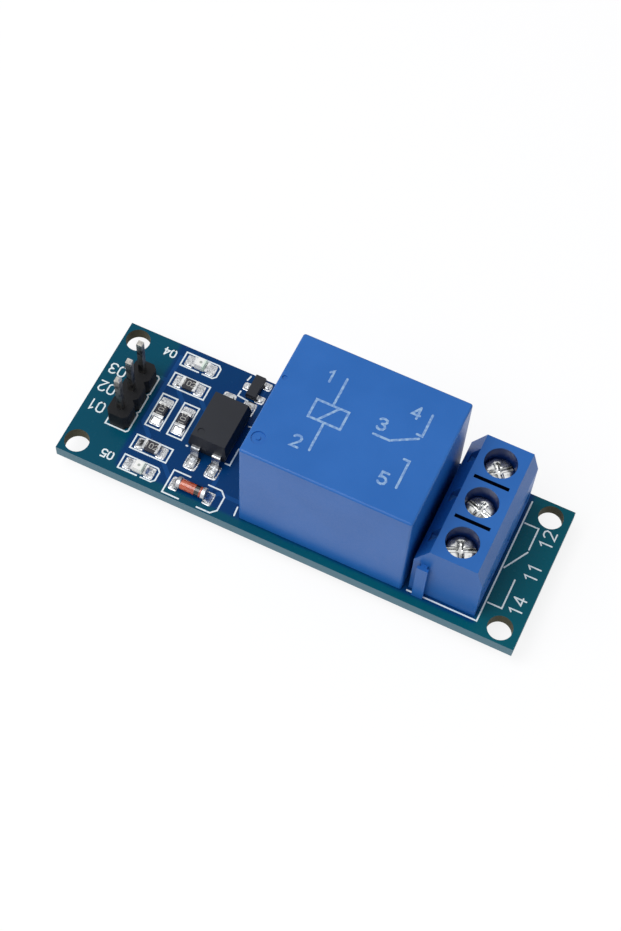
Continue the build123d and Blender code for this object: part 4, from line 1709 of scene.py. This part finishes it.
@dataclass
class ScrewTerminal:
    """The three-way screw terminal with its turned screws and clamp cages."""

    # The head and its cross slot
    slot_width: float = 0.5
    slot_depth: float = 0.7
    slot_softness: float = 0.04
    cross_length: float = 2.0
    crown: float = 0.12
    edge_round: float = 0.45
    head_height: float = 1.35
    head_chamfer: float = 0.05
    head_taper: float = 0.97

    # The thread, the shank and its tip
    thread_pitch: float = 0.45
    thread_depth: float = 0.16
    thread_rings: int = 60
    run_out: float = 0.3
    shank_radius: float = 1.2
    tip_height: float = 0.25
    tip_chamfer: float = 0.3

    # How far each screw is turned, from near to far
    slot_turns: tuple[float, float, float] = (24.0, -18.0, 40.0)

    # Grid lines of the head, as shares of the slot's half width, of its half length and of the radius
    wall_lines: tuple[float, ...] = (0.6, 0.9, 1.1, 1.4)
    end_lines: tuple[float, ...] = (0.97, 1.03, 1.15)
    rim_lines: tuple[float, ...] = (0.8, 0.9, 0.96, 0.99, 1)

    def head_lines(self, radius: float) -> np.ndarray:
        """Grid lines from -1 to 1 that crowd at the slot's walls and at the rim.

        Args:
            radius: the radius of the head.

        Returns:
            The lines, as shares of the radius.
        """
        wall = self.slot_width / 2 / radius
        reach = self.cross_length / 2 / radius
        by_wall = [wall * share for share in self.wall_lines]
        by_end = [reach * share for share in self.end_lines]
        half = np.array(sorted([0, *by_wall, (wall + reach) / 2, *by_end, *self.rim_lines]))
        return np.concatenate([-half[:0:-1], half])

    def arm(self, across: np.ndarray, half: float) -> np.ndarray:
        """One inside the half width of an arm of the slot, falling smoothly to nothing outside.

        Args:
            across: the distance from the arm's middle line.
            half: half its width.

        Returns:
            The mask, t squared times (3 - 2 t) for the share t of the way in over the wall.
        """
        share = np.clip((half + self.slot_softness - np.abs(across)) / (2 * self.slot_softness), 0, 1)
        return share * share * (3 - 2 * share)

    def head(self, radius: float, top: float) -> np.ndarray:
        """The domed top of a screw's head with its cross slot.

        A square grid is pushed out to a disc: a point is scaled by the share that brings the grid's
        edge to the circle, to the sixth power of its distance from the middle. Its height is the
        crown, rounded down at the rim, less a smooth well where it lies in either arm of the slot.

        Args:
            radius: the radius of the head.
            top: the height of its middle.

        Returns:
            A square grid of points.
        """
        lines = self.head_lines(radius)
        u, v = np.meshgrid(lines, lines, indexing="ij")
        square = np.maximum(np.abs(u), np.abs(v))
        round_share = square / np.maximum(np.hypot(u, v), 1e-9)
        scale = radius * (1 + (round_share - 1) * square**6)
        x, y = u * scale, v * scale
        away = np.hypot(x, y) / radius
        rim = np.clip((away * radius - radius + self.edge_round) / self.edge_round, 0, 1)
        height = top - self.crown * away**2 * (1 - rim) - self.edge_round * (1 - np.sqrt(1 - rim**2))
        slot = self.arm(y, self.slot_width / 2)
        cross = self.arm(x, self.slot_width / 2) * self.arm(y, self.cross_length / 2)
        floor = np.minimum(top - self.slot_depth, height)
        return np.stack([x, y, height + (floor - height) * np.maximum(slot, cross)], axis=-1)

    def shank(self, edge: np.ndarray, radius: float, top: float, tip: float) -> np.ndarray:
        """The side of a screw, from its head's edge down to the middle of its tip.

        The shank's radius falls by the thread's depth times a triangle wave of height over pitch
        less angle over a full turn, which makes one continuous helix.

        Args:
            edge: the points round the edge of the head.
            radius: the radius of the head.
            top: the height of the head's middle.
            tip: the height of the tip.

        Returns:
            A grid of rings.
        """
        angle = np.arctan2(edge[:, 1], edge[:, 0])
        under = top - self.head_height
        turns = np.linspace(under, tip + self.tip_height, self.thread_rings)[:, None]
        wave = (turns / self.thread_pitch - angle / FULL_TURN) % 1
        fade = np.clip((under - turns) / self.run_out, 0, 1)
        thread = self.shank_radius - self.thread_depth * fade * (1 - np.abs(2 * wave - 1))
        ring = np.ones((1, len(angle)))
        radii = np.vstack([
            np.hypot(edge[:, 0], edge[:, 1]),
            ring * radius,
            ring * radius * self.head_taper,
            thread,
            ring * (self.shank_radius - self.tip_chamfer),
            ring * 0,
        ])
        heights = np.vstack([
            edge[:, 2],
            ring * (under + self.head_chamfer),
            ring * under,
            turns * ring,
            ring * tip,
            ring * tip,
        ])
        return np.stack([radii * np.cos(angle), radii * np.sin(angle), heights], axis=-1)

    def screw(self, number: int) -> Surface:
        """One screw: a domed head with a cross slot and a threaded shank.

        Args:
            number: which of the three screws it is.

        Returns:
            The closed screw in its place, with its slot turned as in the photograph.
        """
        box = Extent.of(f"terminal_screw_{number}")
        radius, top, tip = box.size[0] / 2, box.high[2], box.low[2]
        head = self.head(radius, top)
        edge = np.concatenate([head[:-1, 0], head[-1, :-1], head[:0:-1, -1], head[0, :0:-1]])
        side = self.shank(edge, radius, top, tip)
        whole = Surface.join([net(head), net(side, wrap=True)])
        return whole.turned(self.slot_turns[number - 1]).moved(*box.middle[:2])

    def build(self) -> None:
        """Dresses the housing and cages and turns the three screws."""
        wells = tuple(tuple(Extent.of(f"terminal_screw_{number}").middle[:2].tolist()) for number in POLES)
        # The housing's bores and the slots between them carry painted shade
        housing = BoredPlastic(
            "terminal_plastic", Colour(30, 99, 178), Colour(38, 106, 186), 0.4, shine=0.34,
            bores=wells, rim_height=float(Extent.of("terminal_housing").high[2]),
        )
        brass = BareMetal("terminal_plated_brass", Colour(206, 204, 192), Colour(182, 168, 128), 0.26)
        zinc = BareMetal(
            "terminal_screw_zinc", Colour(232, 233, 232), Colour(120, 122, 120), 0.16,
            line_size=0.09, line_stretch=(3, 1, 1),
        )
        dress(housing, "terminal_housing")
        for number in POLES:
            dress(brass, f"terminal_frame_{number}", f"terminal_plate_{number}")
            name = f"terminal_screw_{number}"
            self.screw(number).build(f"turned_{name}", zinc, f"screw_{number}", Slot.SCREW_ZINC, [name])


@dataclass
class SmallParts:
    """The header, the optocoupler, the transistor, the chips, the lamps and the diode."""

    # The digits on the resistors
    code_height: float = 0.62
    code_line: float = 0.075
    code_rise: float = 0.012

    # The painted highlight on the tips of the header pins, and the diode's band from the end of its tube
    tip_highlight_depth: float = 0.5
    band_inset: float = 0.5
    band_width: float = 0.55

    def dress_moulded(self) -> None:
        """Black plastic bodies and their plated leads."""
        header = MouldedPlastic(
            "header_plastic", Colour(9, 10, 13), Colour(15, 16, 20), 0.5, 0.14, 0.02, shine=0.2
        )
        package = MouldedPlastic(
            "package_plastic", Colour(22, 25, 32), Colour(29, 32, 40), 0.48, 0.12, 0.008, shine=0.32
        )
        # Header pins: the near-black colour is painted shade and the bright tips are a painted highlight
        pins = BareMetal(
            "header_pin_plating", Colour(206, 203, 196), Colour(48, 49, 53), 0.24,
            line_stretch=(1, 1, 14), highlight_above=Extent.of("header_pin_1").high[2] - self.tip_highlight_depth,
        )
        leads = BareMetal("package_lead_tin", Colour(196, 198, 200), Colour(120, 122, 125), 0.2)
        dress(header, "header_body")
        dress(package, "optocoupler_body", "transistor_body")
        dress(pins, *(f"header_pin_{number}" for number in PINS))
        dress(leads, "optocoupler_leads", "transistor_leads")

    def dress_chips(self) -> None:
        """The resistors and the lamps, with plated ends."""
        glaze = MouldedPlastic("resistor_glaze", Colour(20, 20, 22), Colour(30, 29, 30), 0.3, 0.08, 0.004)
        plating = BareMetal("chip_end_plating", Colour(228, 229, 230), Colour(158, 160, 163), 0.24)
        centres = tuple(tuple(Extent.of(lamp.part("lens")).middle.tolist()) for lamp in Lamp)
        lens = LampResin(
            "lamp_lens_resin", Colour(255, 255, 252), Colour(204, 240, 208), Colour(110, 124, 112), centres
        )
        seat = LampResin(
            "lamp_seat", Colour(240, 242, 236), Colour(214, 236, 212), Colour(96, 104, 94), centres
        )
        for number in RESISTORS:
            dress(glaze, f"resistor_{number}_body")
            dress(plating, f"resistor_{number}_ends")
        for lamp in Lamp:
            dress(lens, lamp.part("lens"))
            dress(seat, lamp.part("base"))
            dress(plating, lamp.part("ends"))

    def dress_diode(self) -> None:
        """The tinted glass tube with its band, the plated caps and the silicon inside."""
        glass = TintedGlass(
            "diode_tube_glass", Colour(238, 108, 48), Colour(196, 70, 26), Colour(16, 12, 12),
            band_x=Extent.of("diode_glass").high[0] - self.band_inset, band_width=self.band_width,
        )
        caps = BareMetal("diode_cap_plating", Colour(200, 202, 206), Colour(160, 160, 162), 0.22)
        silicon = BareMetal("diode_die_silicon", Colour(92, 94, 102), Colour(60, 62, 70), 0.3)
        dress(glass, "diode_glass")
        dress(caps, "diode_caps")
        dress(silicon, "diode_die")

    def value_codes(self) -> Surface:
        """The three digits printed on each resistor, turned with it.

        Returns:
            The digits as one surface.
        """
        codes = []
        for number, text in zip(RESISTORS, ("102", "102", "103", "102")):
            box = Extent.of(f"resistor_{number}_body", f"resistor_{number}_ends")
            turn = 0 if box.size[0] > box.size[1] else 90
            base = float(Extent.of(f"resistor_{number}_body").high[2]) - BURIED
            x, y = box.middle[:2]
            codes.append(numerals(text, x, y, self.code_height, self.code_line, base, self.code_rise, turn))
        return Surface.join(codes)

    def build(self) -> None:
        """Dresses all the small parts and prints the resistors."""
        self.dress_moulded()
        self.dress_chips()
        self.dress_diode()
        ink = PrintedInk("resistor_print_ink", Colour(196, 196, 190), Colour(150, 150, 146))
        self.value_codes().build("resistor_print", ink, BOARD)


@dataclass
class SolderWork:
    """The solder on the board's top and the joints round the pins under it."""

    # Solder at the ends of chips
    chip_reach: float = 0.72
    chip_height: float = 0.4
    chip_overlap: float = 0.12
    diode_share: float = 1.5
    slope_points: tuple[int, int] = (16, 15)

    # Flat pads
    pad_rise: float = 0.035
    pad_margin: float = 0.12
    pad_squareness: float = 8.0
    pad_flatness: float = 14.0

    # Drops and pads at the toes of bent leads
    lead_drop: float = 0.34
    small_drop: float = 0.2
    lead_margin: float = 0.34
    drop_squareness: float = 2.6
    drop_flatness: float = 2.2
    toe_margin: float = 0.6
    toe_squareness: float = 6.0
    foot_height: float = 0.1

    # Joints round the pins under the board
    neck_share: float = 0.58
    cone_points: int = 16

    def __post_init__(self) -> None:
        """Reads the height of the board's top."""
        self.top = float(Extent.of("circuit_board").high[2])

    def climb(self, reach: float, width: float, height: float) -> Surface:
        """Solder that climbs an upright end face at X = 0 and runs out along X.

        At a share u of its reach and v of its half width, it stands the height times
        (0.86 (1 - u) to the power 2.2 + 0.14 times the root of 1 - u to the fourth) times the root
        of 1 - v to the fourth. It narrows by 0.12 times u cubed, and each section across it closes
        along the board.

        Args:
            reach: how far it runs out.
            width: how wide it is.
            height: how high it climbs.

        Returns:
            The closed slope.
        """
        count, rounded = self.slope_points
        u = np.linspace(0, 1, count)[:, None]
        v = np.linspace(-1, 1, rounded)[None, :]
        fall = 0.86 * (1 - u) ** 2.2 + 0.14 * np.sqrt(1 - u**4)
        sections = np.empty((count, rounded + 2, 3))
        sections[:, :, 0] = u * reach
        sections[:, :rounded, 1] = v * width / 2 * (1 - 0.12 * u**3)
        sections[:, rounded:, 1] = np.array([width, -width]) / 4
        sections[:, :rounded, 2] = height * fall * np.sqrt(1 - v**4)
        sections[:, rounded:, 2] = -BURIED
        return tube(sections)

    def chip_joints(self, ends: str, height: float) -> list[Surface]:
        """The solder of a part with an end cap at each end.

        Args:
            ends: the node that holds the two ends.
            height: how high the solder climbs.

        Returns:
            A slope and a pad for each end.
        """
        box = Extent.of(ends)
        lying = box.size[0] > box.size[1]
        x, y = box.middle[:2]
        half = max(box.size[:2]) / 2 - self.chip_overlap
        width = min(box.size[:2])
        reach = self.chip_reach + self.chip_overlap
        length, breadth = reach + self.pad_margin * 2, width + self.pad_margin * 2
        slope = self.climb(reach, width, height).moved(x=half)
        powers = (self.pad_squareness, self.pad_flatness)
        pad = cushion(half + reach / 2, 0, length, breadth, -BURIED, self.pad_rise, *powers)
        sides = (0, 180) if lying else (90, 270)
        return [part.turned(side).moved(x, y, self.top) for side in sides for part in (slope, pad)]

    def lead_joints(self, leads: str, drop: float) -> list[Surface]:
        """A rounded drop and a flat pad at the toe of each bent lead.

        A lead's foot is the box round its lowest points, up to the foot height above the board.
        It gives the middle and size of the lead's solder.

        Args:
            leads: the node that holds the leads.
            drop: the height of a drop.

        Returns:
            A drop and a pad for each lead.
        """
        base = self.top - BURIED
        drop_powers = (self.drop_squareness, self.drop_flatness)
        pad_powers = (self.toe_squareness, self.pad_flatness)
        joints = []
        for lead in solids_of(leads):
            foot = lead[lead[:, 2] < self.top + self.foot_height, :2]
            x, y = (foot.min(axis=0) + foot.max(axis=0)) / 2
            round_size = np.ptp(foot, axis=0) + self.lead_margin
            flat_size = np.ptp(foot, axis=0) + self.toe_margin
            joints.append(cushion(x, y, *round_size, base, drop, *drop_powers))
            joints.append(cushion(x, y, *flat_size, base, self.pad_rise, *pad_powers))
        return joints

    def pin_joint(self, cone: np.ndarray) -> Surface:
        """A joint that climbs a pin under the board.

        Going down by a share t of its height, its radius is the neck plus the rest of the rim
        times (1 - t) to the power 1.8, and the last tenth rounds in to the pin.

        Args:
            cone: the points of the plain joint that it stands for.

        Returns:
            The hollow-sided joint, as wide and as tall as the plain one.
        """
        low, high = cone.min(axis=0), cone.max(axis=0)
        rim = float(high[0] - low[0]) / 2
        neck = rim * self.neck_share
        share = np.linspace(0, 1, self.cone_points)
        last_tenth = ((share - 0.9) / 0.1).clip(0, 1)
        radius = (neck + (rim - neck) * (1 - share) ** 1.8) * np.sqrt(np.clip(1 - last_tenth**2, 0.12, 1))
        height = high[2] + (low[2] - high[2]) * share
        profile = [(0, high[2]), *zip(radius.tolist(), height.tolist()), (0, low[2])]
        x, y, _ = (low + high) / 2
        return lathe(profile, x, y)

    def build(self) -> None:
        """Replaces the plain solder with curved joints, above and below the board."""
        solder = SolderFinish(
            "soft_solder", Colour(226, 228, 230), Colour(140, 143, 148), Colour(128, 116, 94)
        )
        chips = [f"resistor_{number}_ends" for number in RESISTORS] + [lamp.part("ends") for lamp in Lamp]
        joints = [joint for ends in chips for joint in self.chip_joints(ends, self.chip_height)]
        joints += self.chip_joints("diode_caps", self.chip_height * self.diode_share)
        joints += self.lead_joints("optocoupler_leads", self.lead_drop)
        joints += self.lead_joints("transistor_leads", self.small_drop)
        Surface.join(joints).build(
            "curved_surface_solder", solder, BOARD, Slot.SOLDER_JOINT, ["surface_solder"]
        )
        for node in ("relay_solder", "terminal_solder", "header_solder"):
            pins = [self.pin_joint(cone) for cone in solids_of(node)]
            Surface.join(pins).build(f"curved_{node}", solder, BOARD, Slot.SOLDER_JOINT, [node])


@dataclass
class Studio:
    """A white floor, soft light from above and the camera that matches the photograph."""

    # The camera, fitted to the photograph
    eye: tuple[float, float, float] = (34.31576, -87.42104, 182.70315)
    tilt: tuple[float, float, float] = (27.7480506, -1.9528126, 25.3387764)
    lens: float = 72.2308
    frame_height: float = 36.0
    near_clip: float = 10.0

    # The floor, the lamps and the even light
    floor_half: float = 1500.0
    floor_glow: float = 0.84
    lamp_width: float = 420.0
    key_place: tuple[float, float, float] = (-190.0, -150.0, 480.0)
    key_strength: float = 0.69
    fill_place: tuple[float, float, float] = (300.0, -340.0, 300.0)
    fill_strength: float = 0.08
    sky: float = 0.34

    def floor_material(self) -> bpy.types.Material:
        """Matt white where light bounces from it, and glowing white with shadows where it is seen.

        Returns:
            The material.
        """
        kit = MaterialKit("studio_floor")
        matt = kit.add("ShaderNodeBsdfDiffuse", inputs={"Color": Colour(232, 232, 232)})
        shade = kit.add("ShaderNodeBsdfDiffuse", inputs={"Color": Colour(120, 120, 122)})
        glow = kit.add("ShaderNodeEmission", inputs={"Color": WHITE, "Strength": self.floor_glow})
        bright = kit.add("ShaderNodeAddShader", inputs={0: shade.outputs[0], 1: glow.outputs[0]})
        kit.show("Material Output", matt, bright)
        kit.tree.nodes.remove(kit.shader)
        return kit.material

    def floor(self) -> None:
        """A flat sheet under the board."""
        side = np.array([-self.floor_half, self.floor_half])
        x, y = np.meshgrid(side, side, indexing="ij")
        sheet = net(np.stack([x, y, np.full_like(x, CAD_BOX[0].z / MM)], axis=-1))
        mesh = bpy.data.meshes.new("studio_floor")
        mesh.from_pydata((sheet.points * MM).tolist(), [], [face[::-1] for face in sheet.faces])
        mesh.materials.append(self.floor_material())
        piece = bpy.data.objects.new("studio_floor", mesh)
        bpy.context.scene.collection.objects.link(piece)

    def world(self) -> None:
        """Even light from all round, which shows as white where it is seen."""
        world = bpy.data.worlds.new("studio_world")
        world.use_nodes = True
        bpy.context.scene.world = world
        kit = NodeKit(world.node_tree)
        lit = kit.add("ShaderNodeBackground", inputs={"Color": WHITE, "Strength": self.sky})
        seen = kit.add("ShaderNodeBackground", inputs={"Color": WHITE, "Strength": 1.0})
        kit.show("World Output", lit, seen)

    def lamp(self, name: str, place: Place, strength: float) -> None:
        """A square soft light that looks at the middle of the board.

        Its power is the strength times pi squared times the distance squared, in watts, so that a
        strength of 1 lights a facing white surface to 1.

        Args:
            name: the light's name.
            place: where it stands.
            strength: how bright it is.
        """
        data = bpy.data.lights.new(name, "AREA")
        data.size = self.lamp_width * MM
        lamp = bpy.data.objects.new(name, data)
        lamp.location = np.array(place) * MM
        data.energy = strength * math.pi**2 * lamp.location.length**2
        lamp.rotation_euler = lamp.location.to_track_quat("Z", "Y").to_euler()
        bpy.context.scene.collection.objects.link(lamp)

    def camera(self) -> None:
        """The camera of the photograph."""
        data = bpy.data.cameras.new("photo_camera")
        data.sensor_fit = "VERTICAL"
        data.sensor_height = self.frame_height
        data.lens = self.lens
        data.clip_start = self.near_clip * MM
        camera = bpy.data.objects.new("photo_camera", data)
        camera.location = np.array(self.eye) * MM
        camera.rotation_euler = np.radians(self.tilt)
        bpy.context.scene.collection.objects.link(camera)
        bpy.context.scene.camera = camera

    def build(self) -> None:
        """Sets up floor, light and camera."""
        bpy.context.scene.view_settings.view_transform = "Standard"
        self.floor()
        self.world()
        self.lamp("key_light", self.key_place, self.key_strength)
        self.lamp("fill_light", self.fill_place, self.fill_strength)
        self.camera()


def main() -> None:
    """Builds the board's parts in order, then the studio."""
    logging.basicConfig(level=logging.INFO, format="%(message)s")
    for assembly in (CircuitBoard(), Relay(), ScrewTerminal(), SmallParts(), SolderWork(), Studio()):
        LOG.info("building %s", type(assembly).__name__)
        assembly.build()


if __name__ == "__main__":
    main()
